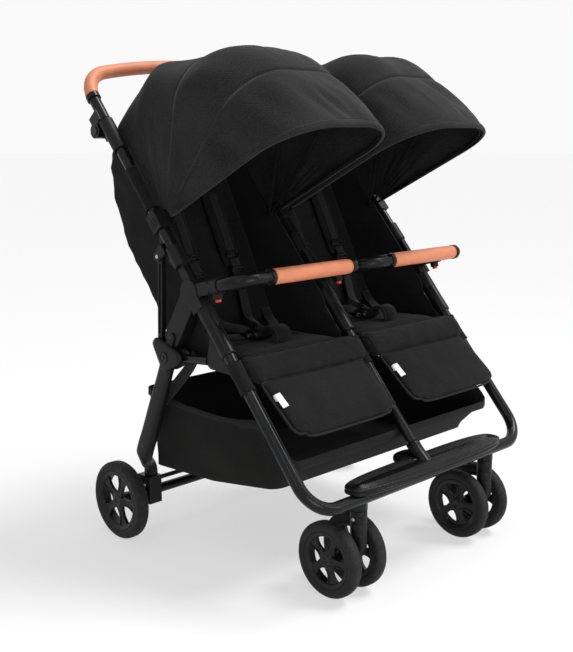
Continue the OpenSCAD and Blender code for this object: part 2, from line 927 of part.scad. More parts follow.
module rear_legs() {
  heel_up = 4;
  heel = [leg_in + leg_t / 2, leg_end.x, leg_end.y - heel_up];
  turn = [post_x, post_y, 192];
  placed() color("#1a1a1a") both_sides() {
    difference() {
      plate(leg_in, leg_in + leg_t) slot(pivot, leg_end, leg_w);
      x_pin(leg_in - 1, leg_in + leg_t + 1, pivot, pivot_d + pin_fit);
    }
    rod(heel, turn, post_d);
    translate(turn) sphere(d = post_d + 2);
    rod(turn, [post_x, post_y, bracket_top + gap], post_d);
  }
}

module rear_axle() {
  inner = 272;
  outer = 306;
  bracket = [outer - inner, 42, 64];
  bracket_y = -26;
  axle_t = 2;
  brake_hole = 11;
  hole_l = 12;
  stub_d = 20;
  stub_l = 22;
  spindle_end = rear_x + 9;
  placed() color("#161616") {
    pipe([-inner, 0, axle_z], [inner, 0, axle_z], axle_d, axle_t);
    both_sides() {
      difference() {
        translate([inner, bracket_y, bracket_top - bracket.z]) cube(bracket);
        x_pin(inner - 1, inner + hole_l, brake_at, brake_hole);
      }
      x_pin(outer - 1, spindle_end, [0, axle_z], spindle_d);
      x_pin(outer - 1, outer + stub_l, [0, axle_z], stub_d);
    }
  }
}

module brake_pedal() {
  half = 280;
  rod_d = 10;
  tread = [90, 46, 8];
  tread_y = 12;
  neck = [40, 22, 8];
  placed() color("#1c1c1c") {
    x_pin(-half, half, brake_at, rod_d);
    translate([-tread.x / 2, tread_y, brake_at.y - tread.z / 2]) cube(tread);
    translate([-neck.x / 2, brake_at.x, brake_at.y - neck.z / 2]) cube(neck);
  }
}

// Wheel about the X axis at x = 0; face = +1 when the outer face looks to +x
module wheel_tyre(r, w, inner_r) {
  soft = 9;
  rotate([0, 90, 0]) rotate_extrude() {
    translate([inner_r, -w / 2]) square([r - soft - inner_r, w]);
    translate([r - soft, -w / 2 + soft]) square([soft, w - 2 * soft]);
    for (m = side_signs) translate([r - soft, m * (w / 2 - soft)]) circle(soft);
  }
}

module wheel_rim(r, w, bore_d, hub_l, face) {
  spokes = 5;
  ring = 8;
  ring_inset = 3;
  hub_r = 15;
  spoke = [10, r - ring - hub_r + 6, 14];
  spoke_out = 3;
  end_wall = 5;
  difference() {
    union() {
      rotate([0, 90, 0]) rotate_extrude() translate([r - ring, ring_inset - w / 2])
        square([ring, w - 2 * ring_inset]);
      x_pin(face > 0 ? w / 2 - hub_l : -w / 2, face > 0 ? w / 2 : hub_l - w / 2, [0, 0], 2 * hub_r);
      for (k = [0 : spokes - 1]) rotate([90 + 360 / spokes * k, 0, 0])
        translate([spoke_out * face - spoke.x / 2, hub_r - 4, -spoke.z / 2]) cube(spoke);
    }
    x_pin(face > 0 ? -hub_l : end_wall - w / 2, face > 0 ? w / 2 - end_wall : hub_l, [0, 0],
      bore_d + pin_fit);
  }
}

module rear_rim(side) {
  placed() color("#161616") translate([side * rear_x, 0, rear_r])
    wheel_rim(rear_r - rear_tyre_h, rear_w, spindle_d, rear_w + hub_extra, side);
}

module rear_tyre(side) {
  placed() color("#1e1e1f") translate([side * rear_x, 0, rear_r])
    wheel_tyre(rear_r, rear_w, rear_r - rear_tyre_h + gap);
}

// Front casters

module caster(side) {
  axle = [stem_y + trail, front_r];
  head_d = 33;
  head_z = 128;
  head_h = 54.4;
  neck_d = 29;
  neck_z = 84;
  neck_h = 45;
  fork_half = 14;
  fork_w = 26;
  fork_top = [stem_y - 14, 86];
  bore_z = 111;
  bore_h = 90;
  axle_half = pair_gap / 2 + 8;
  placed() color("#151515") translate([side * caster_x, 0, 0]) {
    difference() {
      union() {
        translate([0, stem_y, head_z]) cylinder(d = head_d, h = head_h);
        translate([0, stem_y, neck_z]) cylinder(d = neck_d, h = neck_h);
        plate(-fork_half, fork_half) slot(fork_top, axle, fork_w);
      }
      translate([0, stem_y, bore_z]) cylinder(d = kingpin_d + pin_fit, h = bore_h);
    }
    x_pin(-axle_half, axle_half, axle, caster_axle_d);
  }
}

module front_place(side, inner) {
  x = side * caster_x + inner * pair_gap / 2;
  placed() translate([x, stem_y + trail, front_r]) children();
}

module front_rim(side, inner) {
  color("#161616") front_place(side, inner)
    wheel_rim(front_r - front_tyre_h, front_w, caster_axle_d, front_w + hub_extra, inner);
}

module front_tyre(side, inner) {
  color("#1e1e1f") front_place(side, inner) wheel_tyre(front_r, front_w, front_r - front_tyre_h + gap);
}

// Fold strut between the hub ear and the lug of a side tube, for the side at +x
module strut() {
  top = along(lug_s, lug_n);
  groove_w = 6;
  groove_deep = 3;
  groove = [hub_ear + [0, 22], top - [0, 18]];
  face = strut_in + strut_t;
  placed() color("#191919") difference() {
    plate(strut_in, face) slot(hub_ear, top, strut_w);
    x_pin(strut_in - 1, face + 1, hub_ear, ear_pin + pin_fit);
    plate(face - groove_deep, face + 1) slot(groove[0], groove[1], groove_w);
  }
}

front_frame();
frame_joints();
hub_covers();
seat_frame();
footrest();
basket();
seat(-seat_x);  // seat_left
seat(seat_x);  // seat_right
seat_shell(-seat_x);  // seat_shell_left
seat_shell(seat_x);  // seat_shell_right
mirror([1, 0, 0]) strut();  // strut_left
strut();  // strut_right
buckle(-seat_x);  // buckle_left
buckle(seat_x);  // buckle_right
buckle_button(-seat_x);  // buckle_button_left
buckle_button(seat_x);  // buckle_button_right
release(-side_x);  // release_left
release(0);  // release_centre
release(side_x);  // release_right
bumper(0);  // bumper_left
bumper(side_x + inner_x);  // bumper_right
bumper_grip(0);  // bumper_grip_left
bumper_grip(side_x + inner_x);  // bumper_grip_right
upper_tubes();
upper_knuckles();
handle_tube();
handle_grip();
mirror([1, 0, 0]) handle_button();  // handle_button_left
handle_button();  // handle_button_right
bow(-canopy_x, 0);  // canopy_rim_left
bow(-canopy_x, 1);  // canopy_front_left
bow(-canopy_x, 2);  // canopy_mid_left
canopy_cloth(-canopy_x);  // canopy_cloth_left
bow(canopy_x, 0);  // canopy_rim_right
bow(canopy_x, 1);  // canopy_front_right
bow(canopy_x, 2);  // canopy_mid_right
canopy_cloth(canopy_x);  // canopy_cloth_right
backrest(-seat_x);  // backrest_left
backrest(seat_x);  // backrest_right
straps(-seat_x);  // straps_left
straps(seat_x);  // straps_right
calf(-seat_x);  // calf_left
calf(seat_x);  // calf_right
rear_legs();
rear_axle();
brake_pedal();
rear_rim(-1);  // rear_rim_left
rear_tyre(-1);  // rear_tyre_left
rear_rim(1);  // rear_rim_right
rear_tyre(1);  // rear_tyre_right
caster(-1);  // caster_left
caster(1);  // caster_right
front_rim(-1, -1);  // front_rim_ll
front_rim(-1, 1);  // front_rim_lr
front_rim(1, -1);  // front_rim_rl
front_rim(1, 1);  // front_rim_rr
front_tyre(-1, -1);  // front_tyre_ll
front_tyre(-1, 1);  // front_tyre_lr
front_tyre(1, -1);  // front_tyre_rl
front_tyre(1, 1);  // front_tyre_rr
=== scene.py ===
"""Side by side double stroller: soft goods, wheels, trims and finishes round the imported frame.

Positions are written in millimetres as in the part's modules: x across, y from the rear axle with
the front towards -y, z up. at() moves them into the shared frame, in metres.
"""
import math

import bmesh
import bpy
from mathutils import Matrix, Vector, noise
from mathutils.bvhtree import BVHTree


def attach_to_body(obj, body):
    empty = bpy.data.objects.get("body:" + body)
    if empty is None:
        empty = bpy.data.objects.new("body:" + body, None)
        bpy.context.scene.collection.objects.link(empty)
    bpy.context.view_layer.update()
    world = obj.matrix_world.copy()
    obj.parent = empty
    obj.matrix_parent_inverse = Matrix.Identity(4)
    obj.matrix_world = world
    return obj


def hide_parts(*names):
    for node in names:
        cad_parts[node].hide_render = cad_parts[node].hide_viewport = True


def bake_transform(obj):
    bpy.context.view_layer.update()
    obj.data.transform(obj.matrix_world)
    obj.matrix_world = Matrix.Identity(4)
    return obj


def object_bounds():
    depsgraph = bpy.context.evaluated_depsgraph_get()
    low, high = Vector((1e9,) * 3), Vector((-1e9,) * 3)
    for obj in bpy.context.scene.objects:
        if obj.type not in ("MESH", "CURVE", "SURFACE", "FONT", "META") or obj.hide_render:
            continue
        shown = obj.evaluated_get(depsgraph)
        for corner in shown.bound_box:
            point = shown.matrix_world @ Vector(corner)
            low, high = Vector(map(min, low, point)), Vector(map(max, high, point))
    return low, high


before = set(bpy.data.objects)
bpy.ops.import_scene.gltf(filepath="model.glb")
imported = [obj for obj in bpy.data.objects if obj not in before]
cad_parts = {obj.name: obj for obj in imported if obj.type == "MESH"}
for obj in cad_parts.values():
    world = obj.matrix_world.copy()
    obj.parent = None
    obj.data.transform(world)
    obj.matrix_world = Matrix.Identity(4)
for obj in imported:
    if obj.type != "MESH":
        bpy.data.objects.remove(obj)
CAD_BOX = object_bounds()

MM = 0.001
SIDES = (-1, 1)
NAMES = {-1: "left", 1: "right"}
FRONT_END = -611  # y of the foremost point
SHIFT = CAD_BOX[0][1] / MM - FRONT_END
TILT = math.radians(49.1)  # slope of the main tubes
JOINT = (-248, 586)  # (y, z) of the frame joint on them
SIDE_X = 345  # their distance from the middle
SEAT_X = 173  # middle of a seat


# Places

def at(x, y, z):
    return Vector((x, y + SHIFT, z)) * MM


def side_point(s, n=0):
    """(y, z) of the point s along the main tubes from the frame joint and n in front of them."""
    c, k = math.cos(TILT), math.sin(TILT)
    return JOINT[0] + s * c - n * k, JOINT[1] + s * k + n * c


def along(x, s, n=0):
    return at(x, *side_point(s, n))


def lerp(a, b, t):
    return a + (b - a) * t


def ease(t):
    t = min(max(t, 0.0), 1.0)
    return t * t * (3 - 2 * t)


def circle(n):
    return [2 * math.pi * k / n for k in range(n)]


def both_ways(half):
    """A path over its middle point: the half given, then its mirror image."""
    return half + [(-x, d) for x, d in half[-2::-1]]


def rounded(value, power):
    """A sine or cosine raised to a power with its sign kept, for round cornered sections."""
    return math.copysign(abs(value) ** power, value)


def curve_through(points, steps):
    """Points of a smooth curve through the given points, steps to each span."""
    pts = [Vector(p) for p in points]
    ends = [2 * pts[0] - pts[1]] + pts + [2 * pts[-1] - pts[-2]]
    out = []
    for i in range(1, len(ends) - 2):
        a, b, c, d = ends[i - 1:i + 3]
        for k in range(steps):
            t = k / steps
            out.append(0.5 * (2 * b + (c - a) * t + (2 * a - 5 * b + 4 * c - d) * t ** 2
                              + (3 * b - a - 3 * c + d) * t ** 3))
    return out + [pts[-1]]


def resample(points, count):
    """count points evenly spaced along a polyline."""
    lengths = [0.0]
    for p, q in zip(points, points[1:]):
        lengths.append(lengths[-1] + (q - p).length)
    out, k = [], 0
    for i in range(count):
        want = lengths[-1] * i / (count - 1)
        while k < len(points) - 2 and lengths[k + 1] < want:
            k += 1
        span = lengths[k + 1] - lengths[k]
        out.append(points[k].lerp(points[k + 1], (want - lengths[k]) / span if span else 0))
    return out


# Meshes

def build(name, points, faces, mat, smooth=True):
    mesh = bpy.data.meshes.new(name)
    mesh.from_pydata([tuple(p) for p in points], [], faces)
    mesh.polygons.foreach_set("use_smooth", [smooth] * len(mesh.polygons))
    mesh.materials.append(mat)
    obj = bpy.data.objects.new(name, mesh)
    bpy.context.scene.collection.objects.link(obj)
    return obj


def grid_faces(rows, cols, wrap=False, first=0):
    span = range(cols if wrap else cols - 1)
    return [(first + i * cols + j, first + i * cols + (j + 1) % cols,
             first + (i + 1) * cols + (j + 1) % cols, first + (i + 1) * cols + j)
            for i in range(rows - 1) for j in span]


def grid(name, rows, mat, wrap=False):
    points = [p for row in rows for p in row]
    return build(name, points, grid_faces(len(rows), len(rows[0]), wrap), mat)


def capped(name, rows, mat, smooth=True):
    """A tube through rows of points, with both ends filled."""
    m = len(rows[0])
    faces = grid_faces(len(rows), m, wrap=True)
    faces += [tuple(range(m)), tuple((len(rows) - 1) * m + j for j in range(m))]
    return outward(build(name, [p for row in rows for p in row], faces, mat, smooth))


def bake(obj):
    """Writes the modifiers into the mesh."""
    bpy.context.view_layer.update()
    graph = bpy.context.evaluated_depsgraph_get()
    mesh = bpy.data.meshes.new_from_object(obj.evaluated_get(graph))
    obj.modifiers.clear()
    obj.data = mesh
    return obj


def modified(obj, kind, **settings):
    mod = obj.modifiers.new(kind.title(), kind)
    for key, value in settings.items():
        setattr(mod, key, value)
    return obj


def thickened(obj, t, offset=0.0):
    return bake(modified(obj, "SOLIDIFY", thickness=t * MM, offset=offset))


def ring(radius, sides=10, flat=1.0):
    """Section of a round cord, flattened along its second direction."""
    return [(radius * math.cos(a), radius * flat * math.sin(a)) for a in circle(sides)]


def ribbon(width, t, bevel=0.3):
    """Section of a flat webbing with slightly rounded edges."""
    w, h, b = width / 2, t / 2, min(bevel, t / 3)
    return [(w, -h + b), (w, h - b), (w - b, h), (b - w, h),
            (-w, h - b), (-w, b - h), (b - w, -h), (w - b, -h)]


def sweep(name, points, section, mat, closed=False, face=None, scale=None):
    """A section carried along a path; its second direction looks along face, a vector or one per point."""
    pts = [Vector(p) for p in points]
    n = len(pts)
    rows = []
    side = None
    for i, p in enumerate(pts):
        before = pts[i - 1] if closed or i else pts[0]
        after = pts[(i + 1) % n] if closed or i < n - 1 else pts[-1]
        t = (after - before).normalized()
        if face is not None:
            up = Vector(face[i] if isinstance(face, list) else face)
            side = t.cross(up).normalized()
        elif side is None:
            side = t.orthogonal().normalized()
        else:
            side = (side - t * side.dot(t)).normalized()
        up = side.cross(t)
        k = scale(i / max(n - 1, 1)) if scale else 1.0
        rows.append([p + (side * a + up * b) * (k * MM) for a, b in section])
    m = len(section)
    faces = grid_faces(n, m, wrap=True)
    if closed:
        faces += [((n - 1) * m + j, (n - 1) * m + (j + 1) % m, (j + 1) % m, j) for j in range(m)]
    else:
        faces += [tuple(range(m))[::-1], tuple((n - 1) * m + j for j in range(m))]
    return build(name, [p for row in rows for p in row], faces, mat)


def loft(name, line, size_at, face, mat, sides=24, soft=0.6):
    """Rounded section along a path; size_at(f) gives its half sizes across face and along it."""
    last = len(line) - 1
    turn = [(rounded(math.cos(a), soft), rounded(math.sin(a), soft)) for a in circle(sides)]
    rows = []
    for i, p in enumerate(line):
        t = (line[min(i + 1, last)] - line[max(i - 1, 0)]).normalized()
        across = t.cross(Vector(face)).normalized()
        up = across.cross(t)
        wide, high = size_at(i / last)
        rows.append([p + (across * (wide * c) + up * (high * s)) * MM for c, s in turn])
    return capped(name, rows, mat)


def stitches(name, path, way, mat, pitch=5.0, long=3.2, thick=0.55):
    """Short thread bars along a path; way gives the direction that they stand out to."""
    count = max(int(sum((q - p).length for p, q in zip(path, path[1:])) / MM / pitch), 2)
    spots = resample(path, count)
    points, faces = [], []
    for i, p in enumerate(spots):
        t = (spots[min(i + 1, count - 1)] - spots[max(i - 1, 0)]).normalized()
        out = Vector(way[i * len(way) // count] if isinstance(way, list) else way).normalized()
        side = t.cross(out).normalized()
        first = len(points)
        for f, k in ((-0.5, 0.45), (-0.3, 1.0), (0.3, 1.0), (0.5, 0.45)):
            for a in range(6):
                turn = math.pi * a / 3
                points.append(p + (t * (f * long) + side * (math.cos(turn) * thick * k)
                                   + out * (math.sin(turn) * thick * k)) * MM)
        faces += grid_faces(4, 6, wrap=True, first=first)
        faces += [tuple(first + j for j in range(6))[::-1], tuple(first + 18 + j for j in range(6))]
    return build(name, points, faces, mat)


def joined(name, parts):
    """One piece from several meshes in place."""
    bm = bmesh.new()
    mats = []
    for part in parts:
        start = len(bm.faces)
        copy = part.data.copy()
        copy.transform(part.matrix_world)
        bm.from_mesh(copy)
        bm.faces.ensure_lookup_table()
        mat = part.data.materials[0]
        if mat not in mats:
            mats.append(mat)
        for f in bm.faces[start:]:
            f.material_index = mats.index(mat)
        bpy.data.objects.remove(part)
    mesh = bpy.data.meshes.new(name)
    bm.to_mesh(mesh)
    bm.free()
    for mat in mats:
        mesh.materials.append(mat)
    obj = bpy.data.objects.new(name, mesh)
    bpy.context.scene.collection.objects.link(obj)
    return obj


def lathe(name, profile, mat, turns=64, face=1, closed=True):
    """A profile of (radius, x) turned about the X axis, in millimetres about the origin."""
    rows = [[Vector((x * face, r * math.cos(a), r * math.sin(a))) * MM for a in circle(turns)]
            for r, x in profile + ([profile[0]] if closed else [])]
    return grid(name, rows, mat, wrap=True)


def spun(name, profile, mat, turns, face=1):
    return outward(lathe(name, profile, mat, turns, face, closed=False))


def turned(name, profile, mat, turns=40):
    """A profile of (radius, z) turned about the Z axis, in millimetres about the origin."""
    return capped(name, [[Vector((r * math.cos(a), r * math.sin(a), z)) * MM for a in circle(turns)]
                         for r, z in profile], mat)


def outward(obj):
    bm = bmesh.new()
    bm.from_mesh(obj.data)
    bmesh.ops.remove_doubles(bm, verts=bm.verts, dist=1e-6)
    bmesh.ops.recalc_face_normals(bm, faces=bm.faces)
    bm.to_mesh(obj.data)
    bm.free()
    return obj


def shifted(obj, place):
    obj.data.transform(Matrix.Translation(place))
    return obj


def attach(obj, body, slot, *nodes):
    """Gives a piece its body and hides the solids it stands for; a piece given a blend's two bodies and ends
    is only baked in place. slot, its finish, is not used.
    """
    if isinstance(body, tuple):
        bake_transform(obj)
    else:
        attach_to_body(obj, body)
    if nodes:
        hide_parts(*nodes)
    return obj


def cloth(obj, thick, offset, wide, body, slot, *nodes, slack=1.0, held="stretched"):
    """Attaches a sheet. wide and slack, for its flat width and the slack on its length, are not used."""
    thickened(obj, thick, offset)
    attach(obj, body, slot, *nodes)


# Materials

class Tree:
    """The nodes of a material or a world."""

    def __init__(self, owner):
        owner.use_nodes = True
        self.nodes, self.links = owner.node_tree.nodes, owner.node_tree.links

    def feed(self, node, **inputs):
        """Sets inputs of a node to values or links them to outputs; _ stands for the space in a name."""
        for key, value in inputs.items():
            socket = node.inputs[key.replace("_", " ")]
            if isinstance(value, bpy.types.NodeSocket):
                self.links.new(value, socket)
            else:
                socket.default_value = value
        return node

    def add(self, kind, **inputs):
        return self.feed(self.nodes.new("ShaderNode" + kind), **inputs)

    def noise(self, scale, detail=2.0, rough=0.5):
        tex = self.add("TexNoise", Vector=self.coords, Scale=scale, Detail=detail, Roughness=rough)
        return tex.outputs["Fac"]

    def ramp(self, fac, low, high, a=0.35, b=0.65):
        node = self.add("ValToRGB", Fac=fac)
        for stop, place, colour in zip(node.color_ramp.elements, (a, b), (low, high)):
            stop.position = place
            stop.color = (*colour, 1)
        return node.outputs["Color"]

    def spread(self, fac, low, high):
        return self.add("MapRange", Value=fac, To_Min=low, To_Max=high).outputs["Result"]

    def math(self, op, a, b):
        node = self.nodes.new("ShaderNodeMath")
        node.operation = op
        for socket, value in zip(node.inputs, (a, b)):
            if isinstance(value, (int, float)):
                socket.default_value = value
            else:
                self.links.new(value, socket)
        return node.outputs[0]

    def bump(self, bsdf, height, strength, distance):
        node = self.add("Bump", Height=height, Strength=strength, Distance=distance)
        self.feed(bsdf, Normal=node.outputs["Normal"])
        return node

    def mix(self, fac, first, second, end):
        """Mixes two shaders into the output node of that name."""
        node = self.add("MixShader", Fac=fac)
        self.links.new(first.outputs[0], node.inputs[1])
        self.links.new(second.outputs[0], node.inputs[2])
        self.feed(self.nodes[end], Surface=node.outputs[0])


def shader(name):
    mat = bpy.data.materials.new(name)
    tree = Tree(mat)
    tree.coords = tree.add("TexCoord").outputs["Object"]
    return mat, tree, tree.nodes["Principled BSDF"]


def fabric(name, dark, light, sheen, thread=1.1, rough=0.86, strength=0.35):
    """Woven cloth: two thread directions, slubs in colour and height. thread is the pitch in millimetres."""
    mat, tree, bsdf = shader(name)
    waves = []
    scale = 1000 / thread / 6.28 * 0.5
    for way in "XYZ":
        wave = tree.add("TexWave", Vector=tree.coords, Scale=scale, Distortion=0.6, Detail=1.0)
        wave.bands_direction = way
        waves.append(wave.outputs["Fac"])
    weave = tree.math("ADD", tree.math("MULTIPLY", waves[0], waves[2]), tree.math("MULTIPLY", waves[1], 0.5))
    slubs, broad = tree.noise(420.0, 3.0, 0.7), tree.noise(9.0)
    tone = tree.math("ADD", tree.math("MULTIPLY", slubs, 0.75), tree.math("MULTIPLY", broad, 0.25))
    tree.feed(bsdf, Base_Color=tree.ramp(tone, dark, light, 0.36, 0.66),
              Roughness=tree.spread(slubs, rough - 0.08, rough + 0.08),
              Specular_IOR_Level=0.07, Sheen_Weight=sheen, Sheen_Roughness=0.45)
    tree.bump(bsdf, tree.math("ADD", weave, slubs), strength, 0.0004)
    return mat


def moulded(name, colour, rough, grain=900.0, strength=0.12, specular=0.5, edge=0.0012):
    """Moulded plastic or lacquer: fine grain in surface and gloss, faint rubbed tone, softened edges."""
    mat, tree, bsdf = shader(name)
    fine, broad = tree.noise(grain), tree.noise(22.0, 3.0)
    low = tuple(c * 0.82 for c in colour)
    high = tuple(min(c * 1.22, 1.0) for c in colour)
    tree.feed(bsdf, Base_Color=tree.ramp(broad, low, high), Specular_IOR_Level=specular,
              Roughness=tree.spread(broad, max(rough - 0.06, 0.03), rough + 0.06))
    bump = tree.bump(bsdf, fine, strength, 0.0003)
    if edge:
        soft = tree.add("Bevel", Radius=edge)
        soft.samples = 4
        tree.feed(bump, Normal=soft.outputs["Normal"])
    return mat


def leather(name, dark, light):
    """Smooth leather look: pebbled cells and faint creases."""
    mat, tree, bsdf = shader(name)
    cells = tree.add("TexVoronoi", Vector=tree.coords, Scale=620.0)
    broad = tree.noise(35.0, 4.0, 0.6)
    tree.feed(bsdf, Base_Color=tree.ramp(broad, dark, light, 0.3, 0.72), Specular_IOR_Level=0.45,
              Roughness=tree.spread(broad, 0.42, 0.58))
    tree.bump(bsdf, cells.outputs["Distance"], 0.25, 0.0003)
    return mat


def rubber(name, dark, light):
    mat, tree, bsdf = shader(name)
    fine, broad = tree.noise(500.0, 3.0, 0.6), tree.noise(40.0, 3.0)
    tree.feed(bsdf, Base_Color=tree.ramp(broad, dark, light), Specular_IOR_Level=0.25,
              Roughness=tree.spread(fine, 0.6, 0.78))
    tree.bump(bsdf, fine, 0.2, 0.0004)
    return mat


BACKDROP = (0.955, 0.955, 0.955)
CANOPY = fabric("canopy_cloth", (0.006, 0.006, 0.0065), (0.032, 0.032, 0.0335), 0.07, strength=0.5)
SEAT = fabric("seat_cloth", (0.0032, 0.0032, 0.0035), (0.0165, 0.0165, 0.0174), 0.06, 1.3, strength=0.5)
SHELL = fabric("shell_cloth", (0.006, 0.006, 0.0062), (0.017, 0.017, 0.0172), 0.05, thread=0.9)
BASKET = fabric("basket_cloth", (0.006, 0.0057, 0.0055), (0.017, 0.016, 0.0155), 0.05, thread=0.9)
WEBBING = fabric("webbing", (0.008, 0.008, 0.0085), (0.026, 0.026, 0.027), 0.1, thread=2.0, rough=0.7)
BINDING = fabric("binding", (0.007, 0.007, 0.0075), (0.022, 0.022, 0.023), 0.08, thread=1.0, rough=0.75)
TUBE = moulded("tube_lacquer", (0.006, 0.0063, 0.0072), 0.2, 90.0, strength=0.004, specular=0.17, edge=0)
PLASTIC = moulded("joint_plastic", (0.0068, 0.0066, 0.0063), 0.44, 700.0, specular=0.15, edge=0.0025)
GLOSS = moulded("gloss_plastic", (0.0052, 0.0052, 0.0056), 0.27, 300.0, strength=0.02, specular=0.15)
BUTTON = moulded("button_plastic", (0.018, 0.018, 0.019), 0.36, 900.0, strength=0.08, specular=0.25)
RELEASE = moulded("red_plastic", (0.62, 0.012, 0.014), 0.35, 900.0, strength=0.08)
RIM = moulded("rim_plastic", (0.0072, 0.007, 0.0068), 0.42, 800.0, strength=0.1, specular=0.22)
BOW = moulded("bow_wire", (0.006, 0.006, 0.0064), 0.7, 900.0, specular=0.08)
STEEL = moulded("rivet_steel", (0.42, 0.42, 0.43), 0.3, 900.0)
TYRE = rubber("tyre_rubber", (0.0065, 0.0064, 0.0062), (0.014, 0.0138, 0.0135))
GRIP = leather("tan_leather", (0.54, 0.172, 0.078), (0.64, 0.225, 0.110))
THREAD = fabric("tan_thread", (0.46, 0.17, 0.08), (0.62, 0.27, 0.14), 0.1, thread=0.5)
DARK_THREAD = fabric("dark_thread", (0.016, 0.016, 0.017), (0.04, 0.04, 0.042), 0.1, thread=0.5)
TAG = fabric("white_tag", (0.80, 0.80, 0.79), (0.90, 0.90, 0.89), 0.1, thread=0.6)

for mat, nodes in (
    (TUBE, ("front_frame", "upper_tubes", "handle_tube", "seat_frame", "rear_axle")),
    (PLASTIC, ("frame_joints", "upper_knuckles", "strut_left", "strut_right", "brake_pedal")),
    (GLOSS, ("bumper_left", "bumper_right")),
    (BUTTON, ("buckle_button_left", "buckle_button_right", "handle_button_left", "handle_button_right")),
    (RELEASE, ("release_left", "release_centre", "release_right")),
    (BOW, ("canopy_rim_left", "canopy_front_left", "canopy_mid_left", "canopy_rim_right",
           "canopy_front_right", "canopy_mid_right")),
):
    for name in nodes:
        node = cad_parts[name]
        node.data.materials.clear()
        node.data.materials.append(mat)


# Canopies

PIVOT = side_point(172)
BOWS = (27.8, 51, 80.5, 103, 130.9)  # angles of the three bows, the rear seam and the rear edge
REACH = (420, 380, 337, 334, 262)  # distance from the pivot at each of them
CORNER = (118, 112, 106, 96, 24)  # corner radius at each
TUCK = (0, 0, 0, 0, 6)  # drawing in of the sides at each
BULGE = (-3, 17, -9, -8)  # swell of the cloth between each two
CANOPY_HALF = 158
CANOPY_HOLE = 26


def panel_at(a):
    """The panel that the angle a is in, and how far into it."""
    i = sum(a >= b for b in BOWS[1:-1])
    return i, (a - BOWS[i]) / (BOWS[i + 1] - BOWS[i])


def on_bows(values, a):
    i, f = panel_at(a)
    return lerp(values[i], values[i + 1], f)


def canopy_reach(a):
    i, f = panel_at(a)
    return on_bows(REACH, a) + BULGE[i] * math.sin(math.pi * min(max(f, 0), 1))


def corner_arc(x, d, r, steps):
    """A quarter turn of radius r that rounds the corner of the lines at x and d, without its last point."""
    turn = [math.pi / 2 * k / steps for k in range(steps)]
    return [(x - r + r * math.cos(a), d - r + r * math.sin(a)) for a in turn]


def canopy_path(half, reach, r, side=14, arc=12, start=CANOPY_HOLE):
    """(x, distance from the pivot) across the canopy in the plane of one angle."""
    right = [(half, lerp(start, reach - r, k / side)) for k in range(side)]
    right += corner_arc(half, reach, r, arc)
    right += [(lerp(half - r, 0, k / 8), reach) for k in range(9)]
    return both_ways(right)


def canopy_point(cx, x, d, a):
    rad = math.radians(a)
    return at(cx + x, PIVOT[0] - d * math.cos(rad), PIVOT[1] + d * math.sin(rad))


def canopy_row(cx, a, grow=0.0, ripple=0.0, seed=0.0):
    """Points across the canopy at angle a, grown outwards, with folds that run out from the pivot."""
    row = []
    reach, corner = canopy_reach(a) + grow, on_bows(CORNER, a) + grow
    path = canopy_path(CANOPY_HALF - on_bows(TUCK, a) + grow, reach, corner)
    run = 0.0
    for k, (x, d) in enumerate(path):
        run += math.dist(path[k - 1], path[k]) if k else 0.0
        fold = noise.noise((run * 0.021 + seed, a * 0.04, seed))
        fold += 0.5 * noise.noise((run * 0.05, a * 0.09, seed + 7))
        pleat = noise.noise((a * 0.33, seed, math.copysign(4, x))) * (1 - ease((d - 70) / 190))
        out = min((ripple * fold + 0.8 * ripple * pleat) * ease((d - CANOPY_HOLE) / 60), 2.0)
        edge = Vector((x, d - (reach - corner)))
        way = edge.normalized() if d > reach - corner else Vector((math.copysign(1, x), 0))
        row.append(canopy_point(cx, x + way.x * out, d + way.y * out, a))
    return row


def canopy_panel(name, cx, first, last, ripples):
    """The cloth between two bows; ripples gives the depth of the folds over the panel, from 0 to 1."""
    rows = []
    steps = 16
    for i in range(first, last):
        for k in range(steps + (i == last - 1)):
            a = lerp(BOWS[i], BOWS[i + 1], k / steps)
            f = (a - BOWS[first]) / (BOWS[last] - BOWS[first])
            rows.append(canopy_row(cx, a, ripple=ripples(f), seed=cx * 0.01 + first))
    return grid(name, rows, CANOPY)


def make_canopy(side):
    """Canopy cloth in three panels, piping over the bows, a rear seam and the turned front hem."""
    cx = side * (SEAT_X - 0.5)
    tag = NAMES[side]
    bodies = [f"canopy_rim_{tag}", f"canopy_front_{tag}", f"canopy_mid_{tag}", "upper_frame"]
    parts = (
        ("front", 0, 1, lambda f: 11.0 * math.sin(math.pi * min(f * 1.05, 1)) ** 0.6),
        ("top", 1, 2, lambda f: 4.5 * math.sin(math.pi * f)),
        ("rear", 2, 4, lambda f: 3.6 * math.sin(math.pi * f)),
    )
    top = [canopy_point(cx, 0, reach, a) for reach, a in zip(REACH, BOWS)]
    for k, (part, first, last, ripples) in enumerate(parts):
        panel = canopy_panel(f"canopy_{part}_panel_{tag}", cx, first, last, ripples)
        cloth(panel, 1.6, -1, 0.94, (bodies[k], bodies[k + 1], top[first], top[last]), "canopy_fabric",
              f"canopy_cloth_{tag}", slack=1.02)
    for body, i in zip(bodies, (0, 1, 2, 4)):
        cord = sweep(f"canopy_piping_{body}_{tag}", canopy_row(cx, BOWS[i], grow=0.2), ring(1.3, 8), BINDING)
        attach(cord, body, "canopy_fabric")
    seam = sweep(f"canopy_seam_{tag}", canopy_row(cx, BOWS[3], grow=-0.2), ring(1.0, 6), BINDING)
    attach(seam, (bodies[2], bodies[3], top[2], top[4]), "canopy_fabric")
    hem = ((-0.7, -4.5), (-0.95, -2.0), (-0.85, 0.4), (-0.4, 1.2), (0.2, 1.4), (0.7, 1.1), (0.95, 0.3))
    band = grid(f"canopy_rim_band_{tag}", [canopy_row(cx, BOWS[0] + k, grow=g) for k, g in hem], CANOPY)
    thickened(band, 1.4, -1)
    attach(band, bodies[0], "canopy_fabric")


# Seat shells

